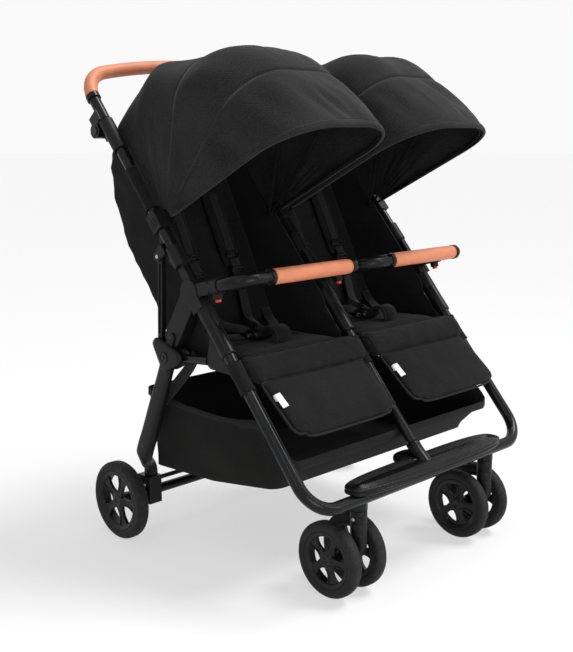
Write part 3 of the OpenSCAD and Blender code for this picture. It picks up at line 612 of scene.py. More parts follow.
# (y, z) down the back of the tub
SHELL_BACK = ((57, 858), (68, 815), (56, 751), (33, 698), (6, 646), (-45, 585), (-91, 527), (-116, 484),
              (-126, 462), (-142, 445), (-166, 437))
SHELL_HALF = 150
SHELL_EDGE = 153.5
SHELL_UPPER = 148.5
# (y, z) along the seat's cloth
SLING = ((-166, 440), (-200, 438), (-250, 437), (-310, 437.5), (-338, 441), (-352, 443.5), (-374, 446))


def make_shell(side):
    """Cloth tub round the back and the sides of a seat, with its bound edge."""
    tag = NAMES[side]
    cx = side * SEAT_X
    back = resample(curve_through([Vector((y, z, 0)) for y, z in SHELL_BACK], 8), 52)
    rows = []
    for i, b in enumerate(back):
        f = i / (len(back) - 1)
        s = lerp(352, -185, f)
        low = ease((195 - s) / 10)
        front = Vector((*side_point(s, lerp(3, -9, ease((-60 - s) / 30))), 0))
        depth = (b - front).length
        r = min(16, depth * 0.5)
        edge = lerp(SHELL_UPPER, SHELL_EDGE, low)
        half = [(lerp(edge, SHELL_HALF, ease(k / 5)), (depth - r) * k / 12) for k in range(12)]
        half += corner_arc(SHELL_HALF, depth, r, 8)
        half += [(lerp(SHELL_HALF - r, 0, k / 8), depth) for k in range(9)]
        row = []
        for x, d in both_ways(half):
            p = front.lerp(b, d / depth)
            soft = 3.4 * noise.noise((x * 0.02, d * 0.02, f * 7 + side))
            soft = abs(soft + 3.2 * noise.noise((x * 0.01, f * 15, d * 0.008)))
            draw = math.copysign(soft * ease(d / 40), x) * (abs(x) > 100)
            row.append(at(cx + x - draw, p.x - soft * (d / depth), p.y))
        rows.append(row)
    body = ("chassis", f"backrest_{tag}", along(cx, 150, -24), along(cx, 150, -66))
    tub = grid(f"seat_tub_{tag}", rows, SHELL)
    cloth(tub, 2.0, -1, 0.72, body, "seat_fabric", f"seat_shell_{tag}", slack=1.05)
    path = [row[0] for row in rows[:0:-1]] + rows[0] + [row[-1] for row in rows[1:]]
    attach(sweep(f"seat_tub_hem_{tag}", path, ring(1.8, 8), BINDING), body, "seat_fabric")
    make_curtain(tag, cx, rows[0])


def make_curtain(tag, cx, low):
    """Gathered cloth from a canopy's rear edge to the top of the tub."""
    a, inside = BOWS[-1] - 2.5, 2.6
    path = canopy_path(CANOPY_HALF - on_bows(TUCK, a) - inside, canopy_reach(a) - inside,
                       on_bows(CORNER, a) - inside, 12, 8, 180)
    top = [canopy_point(cx, x, d, a) for x, d in path]
    rows = []
    for i in range(13):
        f = i / 12
        deep = 5.0 * math.sin(math.pi * f)
        rows.append([p.lerp(q, f) + Vector((0, deep * noise.noise((k * 0.55, f, cx)), 0)) * MM
                     for k, (p, q) in enumerate(zip(top, low))])
    body = ("chassis", f"backrest_{tag}", along(cx, 150, -8), along(cx, 150, -66))
    cloth(grid(f"canopy_curtain_{tag}", rows, SHELL), 1.4, 0, 0.6, body, "canopy_fabric", slack=1.02)


# Seat cloth and pads

def make_sling(side):
    """Cloth that the seat pad lies on, from the rear cross tube to the front roll."""
    tag = NAMES[side]
    cx = side * SEAT_X
    line = curve_through([Vector((y, z, 0)) for y, z in SLING], 6)
    across = [k / 16 - 1 for k in range(33)]
    rows = [[at(cx + 157 * u, p.x, p.y + 9 * ease((abs(u) - 0.82) / 0.18)) for u in across] for p in line]
    cloth(grid(f"seat_sling_{tag}", rows, SHELL), 1.6, 0, 0.32, "chassis", "seat_fabric")


def swell(u, v):
    return max((1 - abs(u) ** 5) * (1 - abs(v) ** 6), 0) ** 0.55


def corner_pull(u, v, k):
    """Drawing in of the corners; k is for all four, or a pair for the -y and the +y ones."""
    if isinstance(k, tuple):
        k = k[v > 0]
    return 1 - k * abs(u * v) ** 6


def pad_mesh(name, size, edge, corner, mat, n=36):
    """Crowned closed pad about the origin: x across, y along, z through its thickness."""
    steps = [math.sin(math.pi / 2 * (2 * i / n - 1)) for i in range(n + 1)]
    points = []
    for face in (1, -1):
        for u in steps:
            for v in steps:
                pull = corner_pull(u, v, corner)
                rise = edge / 2 + (size[2] - edge) / 2 * swell(u, v)
                points.append(Vector((size[0] / 2 * u * pull, size[1] / 2 * v * pull, face * rise)) * MM)
    m = n + 1
    top = grid_faces(m, m)
    low = [tuple(m * m + k for k in f)[::-1] for f in grid_faces(m, m)]
    rim = list(range(n)) + [i * m + n for i in range(n)]
    rim += [n * m + j for j in range(n, 0, -1)] + [i * m for i in range(n, 0, -1)]
    wall = [(rim[k - 1], rim[k], m * m + rim[k], m * m + rim[k - 1]) for k in range(len(rim))]
    return outward(build(name, points, top + low + wall, mat))


def pad_edge(size, corner, n=24):
    """The outline of a pad, once round."""
    steps = [math.sin(math.pi / 2 * (2 * i / n - 1)) for i in range(n)]
    loop = [(u, -1) for u in steps] + [(1, v) for v in steps]
    loop += [(-u, 1) for u in steps] + [(-1, -v) for v in steps]
    return [Vector((size[0] / 2 * u, size[1] / 2 * v, 0)) * corner_pull(u, v, corner) * MM for u, v in loop]


def puffed(obj, cap, pressure=4.0, voxel=0.006, last=20):
    """Swells a pad as sewn cloth under pressure, moving no point further than cap."""
    bake(modified(obj, "REMESH", mode="VOXEL", voxel_size=voxel))
    rest = [v.co.copy() for v in obj.data.vertices]
    sim = obj.modifiers.new("Cloth", "CLOTH")
    sim.settings.quality = 5
    sim.settings.mass = 0.3
    sim.settings.tension_stiffness = 12
    sim.settings.compression_stiffness = 12
    sim.settings.shear_stiffness = 6
    sim.settings.bending_stiffness = 0.4
    sim.settings.use_pressure = True
    sim.settings.uniform_pressure_force = pressure
    sim.settings.effector_weights.gravity = 0
    sim.collision_settings.use_collision = False
    sim.point_cache.frame_start = 1
    sim.point_cache.frame_end = last
    scene = bpy.context.scene
    for f in range(1, last + 1):
        scene.frame_set(f)
    graph = bpy.context.evaluated_depsgraph_get()
    moved = [v.co.copy() for v in obj.evaluated_get(graph).data.vertices]
    obj.modifiers.clear()
    scene.frame_set(1)
    for v, a, b in zip(obj.data.vertices, rest, moved):
        step = b - a
        v.co = a + step * min(1.0, cap * MM / max(step.length, 1e-9))
    obj.data.polygons.foreach_set("use_smooth", [True] * len(obj.data.polygons))
    return bake(modified(obj, "SUBSURF", levels=1, render_levels=1))


def channelled(obj, length, channels, deep, wide=7.0):
    """Presses sewn lines across a pad."""
    for v in obj.data.vertices:
        y = v.co.y / MM
        for c in channels:
            press = math.exp(-((y - c * length / 2) / wide) ** 2)
            v.co.z *= 1 - deep * press
    return obj


def wrinkled(obj, depth, scale, seed):
    """Soft unevenness over a pad's faces."""
    for v in obj.data.vertices:
        push = noise.noise(v.co * scale + Vector((seed, seed * 2, 0)))
        v.co += v.normal * push * depth * MM
    return obj


def placed_pad(obj, place):
    obj.data.transform(place)
    obj.data.update()
    return obj


# Hinges as (y, z), slopes in degrees, pads as width, length and thickness
BACK_HINGE = (-165, 462)
BACK_ANGLE = 63
CALF_HINGE = (-412, 424)
CALF_ANGLE = 220
SEAT_PAD = (286, 198, 22)
BACK_PAD = (286, 405, 20)
CALF_PAD = (296, 140, 18)
CALF_CORNERS = (0.02, 0.17)
ROLL = ((-364, 463), (-381, 467), (-397, 462), (-410, 449), (-417, 433), (-412, 422), (-398, 421),
        (-381, 431), (-366, 446))


def pad_place(x, y, z, tilt, shift=(0, 0, 0)):
    return (Matrix.Translation(at(x, y, z)) @ Matrix.Rotation(math.radians(tilt), 4, "X")
            @ Matrix.Translation(Vector(shift) * MM))


def make_tag(tag, pad, place, body):
    """Plain sewn label lying on the upper left of a calf pad."""
    w, l = 14.0, 33.0
    faces = [tuple(f.vertices) for f in pad.data.polygons]
    tree = BVHTree.FromPolygons([v.co for v in pad.data.vertices], faces)
    out = place.to_3x3() @ Vector((0, 0, -1))
    rows = []
    for i in range(9):
        row = []
        for j in range(7):
            u, v = j / 3 - 1, i / 4 - 1
            above = place @ (Vector((-136 + w / 2 * u, -18 + l / 2 * v, -40)) * MM)
            hit = tree.ray_cast(above, -out)[0]
            lift = 1.0 + 0.4 * abs(u) ** 4 + 0.3 * noise.noise((u * 2, v * 2, 4.0))
            row.append((hit or above - out * 33 * MM) + out * (lift * MM))
        rows.append(row)
    cloth(grid(f"calf_tag_{tag}", rows, TAG), 0.7, 0, w * MM, body, "seat_fabric")


def make_flap(tag, x, body):
    """Cloth hinge from under the seat's front roll to the back of a calf pad."""
    line = ((-392, 427), (-403, 425), (-412, 424), (-421, 416), (-430, 408), (-439, 400.5))
    rows = [[at(x + 145 * (k / 12 - 1), y, z) for k in range(25)] for y, z in line]
    cloth(grid(f"calf_flap_{tag}", rows, SEAT), 1.6, 0, 0.29,
          ("chassis", body, at(x, -404, 425), at(x, -421, 416)), "seat_fabric")


def make_pads():
    """Seat, back and calf pads with their piping; both sides take copies of one mesh of each kind."""
    base = {
        "seat": channelled(wrinkled(puffed(pad_mesh("seat_base", SEAT_PAD, 8, 0.05, SEAT), 3.0),
                                    1.2, 26, 3), SEAT_PAD[1], (0.1,), 0.25),
        "back": channelled(wrinkled(puffed(pad_mesh("back_base", BACK_PAD, 9, 0.06, SEAT), 2.5),
                                    1.2, 22, 5), BACK_PAD[1], (-0.35, 0.3), 0.35),
        "calf": wrinkled(puffed(pad_mesh("calf_base", CALF_PAD, 8, CALF_CORNERS, SEAT), 3.0), 1.1, 30, 9),
    }
    for side, tag in NAMES.items():
        x = side * SEAT_X
        places = {
            "seat": pad_place(x, -273, 452, -2),
            "back": pad_place(x, *BACK_HINGE, BACK_ANGLE, (0, 204, -13)),
            "calf": pad_place(x + 3 * side, *CALF_HINGE, CALF_ANGLE, (0, 71.5, 0)),
        }
        for kind, size, corner, node, body, fill in (
            ("seat", SEAT_PAD, 0.05, f"seat_{tag}", "chassis", 0.55),
            ("back", BACK_PAD, 0.06, f"backrest_{tag}", f"backrest_{tag}", 0.5),
            ("calf", CALF_PAD, CALF_CORNERS, f"calf_{tag}", f"calf_{tag}", 0.5),
        ):
            pad = base[kind].copy()
            pad.data = base[kind].data.copy()
            pad.name = f"{kind}_pad_{tag}"
            bpy.context.scene.collection.objects.link(pad)
            placed_pad(pad, places[kind])
            attach(pad, body, "seat_fabric", node)
            edge = [places[kind] @ p for p in pad_edge(size, corner)]
            cord = sweep(f"{kind}_piping_{tag}", edge, ring(2.4, 8), BINDING, closed=True)
            attach(cord, body, "seat_fabric")
        make_tag(tag, pad, places["calf"], f"calf_{tag}")
        make_flap(tag, x, f"calf_{tag}")
    for obj in base.values():
        bpy.data.objects.remove(obj)


def make_roll(side):
    """Padded front edge of a seat, sewn behind, with its ends drawn in at the tubes."""
    tag = NAMES[side]
    cx = side * SEAT_X
    loop = [Vector((y, z, 0)) for y, z in ROLL]
    section = resample(curve_through(loop + loop[:1], 5), 37)[:-1]
    mid = sum(section, Vector((0, 0, 0))) / len(section)
    steps = 72
    rows = []
    for i in range(steps + 1):
        u = 2 * i / steps - 1
        u = math.copysign(1 - (1 - abs(u)) ** 1.5, u)
        k = max(1 - abs(u) ** 40, 0.3) ** 0.5
        row = []
        for turn, p in zip(circle(len(section)), section):
            push = 1.5 * noise.noise((u * 9 + side, math.cos(turn) * 0.9, math.sin(turn) * 0.9))
            crease = 1.0 * math.exp(-((abs(u) - 0.95) / 0.015) ** 2)
            q = mid + (p - mid) * (k + (push - crease) / 24)
            row.append(at(cx + 160.5 * u, q.x, q.y))
        rows.append(row)
    roll = capped(f"seat_roll_{tag}", rows, SEAT)
    attach(roll, "chassis", "seat_fabric", f"seat_{tag}")
    seam = [at(cx + 154 * (k / 30 - 1), -366.5, 465.5 - 1.5 * abs(k / 30 - 1) ** 8) for k in range(61)]
    attach(sweep(f"seat_seam_{tag}", seam, ring(1.6, 6), BINDING), "chassis", "seat_fabric")
    line = [p + Vector((0, -0.006, 0.0016)) for p in seam]
    attach(stitches(f"seat_stitching_{tag}", line, Vector((0, -0.2, 1)), DARK_THREAD, 4.0, 2.6, 0.4),
           "chassis", "seat_fabric")


def sleeve(name, x, s0, s1, radius, body, slot, seed=0.0):
    """Cloth sleeve round a tube, hemmed at both ends."""
    rows = []
    for i in range(27):
        f = i / 26
        s = lerp(s0, s1, f)
        hem = 0.9 * math.exp(-(min(f, 1 - f) / 0.06) ** 2)
        row = []
        for a in circle(30):
            soft = 0.9 * noise.noise((math.cos(a) * 1.6 + seed, math.sin(a) * 1.6, s * 0.05))
            r = radius + soft + hem
            row.append(along(x + r * math.cos(a), s, r * math.sin(a)))
        rows.append(row)
    cloth(outward(grid(name, rows, SEAT, wrap=True)), 1.0, -1, 2 * math.pi * radius * MM, body, slot)


def make_sleeves():
    """Sleeves at the front of the seats and above the canopy pivots."""
    for side, tag in NAMES.items():
        sleeve(f"seat_sleeve_{tag}", side * SIDE_X, -238, -172, 15.2, "chassis", "seat_fabric", side)
        sleeve(f"tube_sleeve_{tag}", side * SIDE_X, 203, 308, 13.2, "upper_frame", "canopy_fabric", side * 2)
    sleeve("seat_sleeve_centre", 0, -238, -172, 13.2, "chassis", "seat_fabric", 5)


# Wheels and casters

REAR_R = 87.5
FRONT_R = 77
FRONT_AXLE = (-528, FRONT_R)
CASTER_X = 212
CASTER_STEM = -570
CASTER_HEAD = ((11, 182.3), (14.5, 182.3), (16.4, 180.8), (16.6, 172), (16.6, 157), (15.9, 156),
               (15.9, 154.6), (16.6, 153.6), (16.5, 138), (15.8, 130), (15.2, 120), (14.4, 108),
               (12.5, 97), (8, 90))
CASTER_FORK = ((-570, 132), (-572, 112), (-568, 96), (-555, 85), (-540, 79), (-528, 77), (-517, 77))
CASTER_SCREW = [(0.01, 17.4), (1.2, 17.4), (1.4, 18.0), (3.0, 18.0), (3.4, 17.0), (3.4, 14)]


def tyre_mesh(name, r, w, inner_r):
    """Tyre with wavy sipes on both shoulders."""
    soft = 9.0
    turns = 324
    cells = 28
    arc = [math.radians(a) for a in range(0, 91, 9)]
    half = [(inner_r, 0.0), (inner_r, w / 2 - 1), (inner_r + 1, w / 2)]
    half += [(r - soft + soft * math.sin(a), w / 2 - soft + soft * math.cos(a)) for a in arc]
    half += [(r, (w / 2 - soft) * k / 4) for k in (3, 2, 1, 0)]
    profile = half + [(q, -x) for q, x in half[-2:0:-1]]
    rows = []
    for q, x in profile:
        row = []
        for k in range(turns):
            a = 2 * math.pi * k / turns
            cell = (a * cells / (2 * math.pi)) % 1.0
            wave = 0.5 + 0.3 * math.sin((abs(x) - 8) * 0.75) * (1 if x > 0 else -1)
            off = min(abs(cell - wave), 1 - abs(cell - wave)) * 2 * math.pi * r / cells
            on_shoulder = q > r - soft * 0.8 and 3.0 < abs(x) < w / 2 - 0.6
            dip = 2.2 * ease(1 - off / 2.2) if on_shoulder else 0.0
            row.append(Vector((x, (q - dip) * math.cos(a), (q - dip) * math.sin(a))) * MM)
        rows.append(row)
    rows.append(rows[0])
    return outward(grid(name, rows, TYRE, wrap=True))


def spoke(name, r0, r1, w, face):
    """One hollowed spoke that flares into the rim."""
    rows = []
    low = face * (w / 2 - 12)
    for i in range(15):
        f = i / 14
        half = 7.6 + 2.5 * (1 - ease(f * 3)) + 8.5 * ease((f - 0.4) / 0.6) ** 1.4
        top = face * (w / 2 - 2.5 - 2.0 * math.sin(math.pi * f) ** 0.5)
        dish = top - face * (2.6 * ease(f * 3) * ease((1.05 - f) * 5))
        edge = ((0, low), (0, top - face * 0.8), (0.8, top), (2.4, top), (3.4, dish))
        section = [(-half + b, x) for b, x in edge] + [(half - b, x) for b, x in edge[::-1]]
        rows.append([Vector((x, b, lerp(r0, r1, f))) * MM for b, x in section])
    return capped(name, rows, RIM, smooth=False)


def rim_mesh(name, r, w, hub_l, face):
    """Moulded wheel: stepped rim ring, five flared spokes, dished hub with a dot between each two spokes."""
    h = w / 2
    ring_profile = [(r, -h + 1.5), (r, h - 1.5), (r - 1.2, h - 0.4), (r - 3.2, h - 0.4), (r - 4.0, h - 1.6),
                    (r - 8.4, h - 2.2), (r - 10.4, h - 5.0), (r - 9.0, 0), (r - 9.4, -h + 5.0),
                    (r - 7.0, -h + 1.5)]
    hub_profile = [(0.01, h - 3.4), (6.0, h - 3.4), (6.6, h - 2.4), (11.0, h - 1.9), (13.2, h - 2.8),
                   (14.6, h - 5.5), (15.0, h - 12), (13.5, h - hub_l), (0.01, h - hub_l)]
    dot_profile = [(0.01, h - 1.6), (1.5, h - 1.6), (1.9, h - 2.6)]
    parts = [outward(lathe("ring", ring_profile, RIM, 80, face)), spun("hub", hub_profile, RIM, 40, face)]
    arms = [spoke("arm", 12.0, r - 6.5, w, face) for _ in range(5)]
    dots = [shifted(lathe("dot", dot_profile, BUTTON, 12, face, closed=False), Vector((0, 0, 9.0)) * MM)
            for _ in range(5)]
    for pieces, first in ((arms, 90), (dots, 126)):
        for k, piece in enumerate(pieces):
            piece.data.transform(Matrix.Rotation(math.radians(first + 72 * k), 4, "X"))
            parts.append(piece)
    return joined(name, parts)


def make_wheels():
    """Tyres and rims of the two rear wheels and of the two pairs in front."""
    spots = []
    for side, tag in NAMES.items():
        spots.append((f"rear_{{}}_{tag}", at(side * 365, 0, REAR_R), REAR_R, 29, 67.5, side))
        for inner in SIDES:
            place = at(side * CASTER_X + inner * 36.5, *FRONT_AXLE)
            spots.append((f"front_{{}}_{tag[0]}{NAMES[inner][0]}", place, FRONT_R, 27, 58, inner))
    for kind, place, r, w, inner_r, face in spots:
        body, rim_node, tyre_node = kind.format("wheel"), kind.format("rim"), kind.format("tyre")
        tyre = shifted(tyre_mesh(f"{tyre_node}_tread", r, w, inner_r), place)
        attach(tyre, body, "tyre", tyre_node)
        rim = shifted(rim_mesh(f"{rim_node}_face", inner_r - 0.05, w, w + 6, face), place)
        attach(rim, body, "rim", rim_node)


def make_casters():
    """Swivel housings: round head with its seam, tapered fork, axle and screw."""
    def fork_size(f):
        end = 1 - max(0, (f - 0.86) / 0.14) ** 2 * 0.75
        return lerp(15.0, 12.0, ease(f)) * end, lerp(13.0, 11.5, f) * end

    for side, tag in NAMES.items():
        x = side * CASTER_X
        axle = at(x, *FRONT_AXLE)
        line = resample(curve_through([at(x, y, z) for y, z in CASTER_FORK], 6), 30)
        parts = [shifted(turned("head", CASTER_HEAD, PLASTIC), at(x, CASTER_STEM, 0)),
                 loft("fork", line, fork_size, (1, 0, 0), PLASTIC),
                 shifted(spun("axle", [(0.01, -44), (3.9, -44), (3.9, 44), (0.01, 44)], STEEL, 20), axle)]
        for m in SIDES:
            boss = spun("boss", [(5, 10), (8.6, 10.4), (8.0, 17.5), (5, 18)], PLASTIC, 28, m)
            parts.append(shifted(boss, axle))
        parts.append(shifted(spun("screw", CASTER_SCREW, STEEL, 20, side), at(x, CASTER_STEM, 165)))
        attach(joined(f"caster_housing_{tag}", parts), f"caster_{tag}", "moulding", f"caster_{tag}")


# Grips

GRIP_START = 510.0  # where the leather begins, along the main tubes
GRIP_TOP = 612.5  # the middle of the handle's bar
BEND_R = 82
ARCH_R = 1300
BUMPER_REACH = 141
BUMPER_RISE = math.radians(14)
BUMPER_ENDS = (-265 + 0.3, -42 - 0.3)
BUMPER_PITCH = 362


def grip_section(radius, seam, sides=40):
    """Round section with a pressed seam at the given angle."""
    out = []
    for a in circle(sides):
        off = abs((a - seam + math.pi) % (2 * math.pi) - math.pi)
        r = radius - 0.9 * math.exp(-(off / 0.12) ** 2)
        out.append((r * math.cos(a), r * math.sin(a)))
    return out


def pinched(f):
    """Scale along a grip, drawn in at its two ends."""
    return 1.0 - 0.05 * math.exp(-(min(f, 1 - f) / 0.006) ** 2)


def make_grips():
    """Leather on the handle's arched bar with its bends, and on the two bumper bars."""
    corner_x, low = SIDE_X - BEND_R, GRIP_TOP - ARCH_R
    corner_s = low + math.sqrt((ARCH_R - BEND_R) ** 2 - corner_x ** 2)
    turn = math.atan2(corner_s - low, corner_x)
    first = math.asin((GRIP_START - corner_s) / BEND_R)
    bends = [lerp(first, turn, k / 18) for k in range(18)]
    top = [lerp(turn, math.pi / 2, k / 20) for k in range(21)]
    half = [(corner_x + BEND_R * math.cos(a), corner_s + BEND_R * math.sin(a)) for a in bends]
    half += [(ARCH_R * math.cos(a), low + ARCH_R * math.sin(a)) for a in top]
    path = [along(x, s) for x, s in both_ways(half)]
    front = (along(0, 0, 1) - along(0, 0)).normalized()
    grip = sweep("handle_leather", path, grip_section(14.9, math.pi), GRIP, face=front, scale=pinched)
    attach(grip, "handle", "grip", "handle_grip")
    inner, way = [], []
    for i, p in enumerate(path):
        t = (path[min(i + 1, len(path) - 1)] - path[max(i - 1, 0)]).normalized()
        way.append(-t.cross(front).normalized())
        inner.append(p + (way[-1] * 14.2 + front * 2.2) * MM)
    attach(stitches("handle_stitching", inner, way, THREAD), "handle", "grip")
    c, s = math.cos(BUMPER_RISE), math.sin(BUMPER_RISE)
    y, z = JOINT[0] - BUMPER_REACH * c, JOINT[1] + BUMPER_REACH * s
    up = Vector((0, -s, -c))
    for tag, shift in (("left", 0), ("right", BUMPER_PITCH)):
        path = [at(lerp(*BUMPER_ENDS, k / 24) + shift, y, z) for k in range(25)]
        section = grip_section(15.9, math.pi / 2)
        grip = sweep(f"bumper_leather_{tag}", path, section, GRIP, face=up, scale=pinched)
        attach(grip, f"bumper_{tag}", "grip", f"bumper_grip_{tag}")
        line = [p + up * 15.3 * MM + Vector((0, 1, 0)) * 2.0 * MM for p in path]
        attach(stitches(f"bumper_stitching_{tag}", line, up, THREAD), f"bumper_{tag}", "grip")


# Basket

# (y, z) along the rim and the floor, from the rear
BASKET_TOP = ((-44, 348), (-70, 346), (-120, 337), (-180, 332), (-285, 330), (-345, 335), (-404, 346),
              (-462, 312), (-497, 281))
BASKET_FLOOR = ((-48, 171), (-250, 182), (-400, 205), (-440, 212))
BASKET_MID = -250
BASKET_STRAP = ((338, -238, 452), (329, -206, 420), (328, -163, 378), (326, -114, 333))


def height_on(line, y):
    for (y0, z0), (y1, z1) in zip(line, line[1:]):
        if y >= y1:
            return lerp(z0, z1, min(max((y - y0) / (y1 - y0), 0), 1))
    return line[-1][1]


def plan_ring(half, rear, front, corner):
    """A round cornered rectangle in plan, as (x, y)."""
    loop = []
    for cx, cy, first in ((half - corner, rear - corner, 0), (corner - half, rear - corner, 90),
                          (corner - half, front + corner, 180), (half - corner, front + corner, 270)):
        turn = [math.radians(first + 9 * k) for k in range(11)]
        loop += [Vector((cx + corner * math.cos(a), cy + corner * math.sin(a), 0)) for a in turn]
    return [(p.x, p.y) for p in resample(loop + loop[:1], 209)[:-1]]


def basket_floor(x, y, f):
    y = lerp(BASKET_MID, y, f)
    return at(x * f, y, height_on(BASKET_FLOOR, y) - 4 * (1 - f ** 3))


def make_basket():
    """Hung bag with a bound rim, a seam round its floor and two straps."""
    low_ring = plan_ring(306, -48, -440, 22)
    top_ring = plan_ring(322, -44, -497, 16)
    rows = [[basket_floor(x, y, k / 8) for x, y in low_ring] for k in range(1, 9)]
    for k in range(1, 19):
        f = k / 18
        belly = math.sin(math.pi * f)
        row = []
        for (x0, y0), (x1, y1) in zip(low_ring, top_ring):
            x, y = lerp(x0, x1, f), lerp(y0, y1, f)
            z = lerp(height_on(BASKET_FLOOR, y0), height_on(BASKET_TOP, y1), f)
            on_side = ease((abs(x) - 240) / 50)
            slack = -9 * belly * on_side * ease((y + 440) / 120) * ease((-60 - y) / 60)
            slant = noise.noise((y * 0.011 + f * 1.9, f * 0.8, math.copysign(3, x)))
            fine = noise.noise((y * 0.03 + f * 2.6, f * 1.7, math.copysign(8, x)))
            folds = (5.5 * slant + 2.0 * fine) * belly * ease((0.88 - f) / 0.3)
            out = math.copysign(slack + min(folds, 3) * on_side, x)
            row.append(at(x + out, y - abs(folds) * (1 - on_side) * 0.4, z))
        rows.append(row)
    count = len(low_ring)
    points = [p for row in rows for p in row] + [basket_floor(0, 0, 0)]
    faces = grid_faces(len(rows), count, wrap=True)
    faces += [(len(points) - 1, (j + 1) % count, j) for j in range(count)]
    body = ("chassis", "rear_frame", at(0, -260, 260), at(0, -80, 200))
    bag = outward(build("basket_bag", points, faces, BASKET))
    cloth(bag, 2.0, 0, 0.9, body, "basket_fabric", "basket", slack=1.05, held="hung")
    edge = [p - Vector((0, 0, 7)) * MM for p in rows[-1]]
    rim = sweep("basket_binding", edge, ribbon(3.4, 17, 1.0), BINDING, closed=True, face=Vector((0, 0, 1)))
    seam = sweep("basket_seam", rows[7], ring(1.6, 6), BINDING, closed=True)
    for cord in (rim, seam):
        attach(cord, body, "basket_fabric")
    for side, tag in NAMES.items():
        line = curve_through([at(side * x, y, z) for x, y, z in BASKET_STRAP], 8)
        strap = sweep(f"basket_strap_{tag}", line, ribbon(25, 2.2), WEBBING, face=(side, 0, 0))
        attach(strap, ("chassis", "rear_frame", at(0, -238, 452), at(0, -30, 270)), "basket_fabric")


# Harness

BACK_TILT = math.radians(BACK_ANGLE)
BUCKLE_Y = -248
SHOULDER_PAD = (46, 186, 12)


def back_point(x, up, out):
    """A point on the backrest: up along its slope from the hinge edge, out from its front face."""
    c, s = math.cos(BACK_TILT), math.sin(BACK_TILT)
    return at(x, BACK_HINGE[0] + up * c - out * s, BACK_HINGE[1] + up * s + out * c)


def slab(name, half_x, half_y, z0, z1, mat, power=3.2, dome=2.5, turns=40):
    """Rounded block about the origin: superellipse in plan, bevelled foot, domed top."""
    turn = [(rounded(math.cos(a), 2 / power), rounded(math.sin(a), 2 / power)) for a in circle(turns)]
    levels = ((0.90, z0), (0.97, z0 + 1.2), (1.0, z0 + 3.5), (1.0, z1 - 6), (0.97, z1 - 3), (0.90, z1 - 1),
              (0.78, z1), (0.52, z1 + dome * 0.6), (0.25, z1 + dome))
    rows = [[Vector((half_x * k * c, half_y * k * s, z)) * MM for c, s in turn] for k, z in levels]
    return capped(name, rows, mat)


def make_buckle(cx, tag):
    """Crotch buckle with its padded strap looped up from the seat."""
    collar = [Vector((13.2 * math.cos(t), 13.2 * math.sin(t), 485.4)) * MM for t in circle(36)]
    parts = [slab("shell", 28.5, 21.5, 467.5, 484.5, GLOSS, dome=0.6),
             sweep("collar", collar, ring(1.7, 8), GLOSS, closed=True)]
    for m in SIDES:
        arm = slab("arm", 10, 14, 470, 481, GLOSS, dome=0.4, turns=24)
        parts.append(shifted(arm, Vector((m * 32, 4, 0)) * MM))
    buckle = shifted(joined(f"buckle_body_{tag}", parts), at(cx, BUCKLE_Y, 0))
    attach(buckle, "chassis", "moulding", f"buckle_{tag}")
    path = curve_through([at(cx, BUCKLE_Y + y, z) for y, z in (
        (-72, 465), (-76, 478), (-69, 494), (-51, 499), (-32, 492), (-20, 478))], 8)
    face = [Vector((0, -1, 0)).lerp(Vector((0, 0.9, 0.8)), k / (len(path) - 1)) for k in range(len(path))]
    strap = sweep(f"crotch_strap_{tag}", path, ribbon(40, 5.0, 1.6), SEAT, face=face)
    attach(strap, "chassis", "seat_fabric")
    edges = [sweep("edge", [p + Vector((m * 19.5, 0, 0)) * MM for p in path], ring(2.9, 6, 0.9), BINDING)
             for m in SIDES]
    attach(joined(f"crotch_binding_{tag}", edges), "chassis", "seat_fabric")


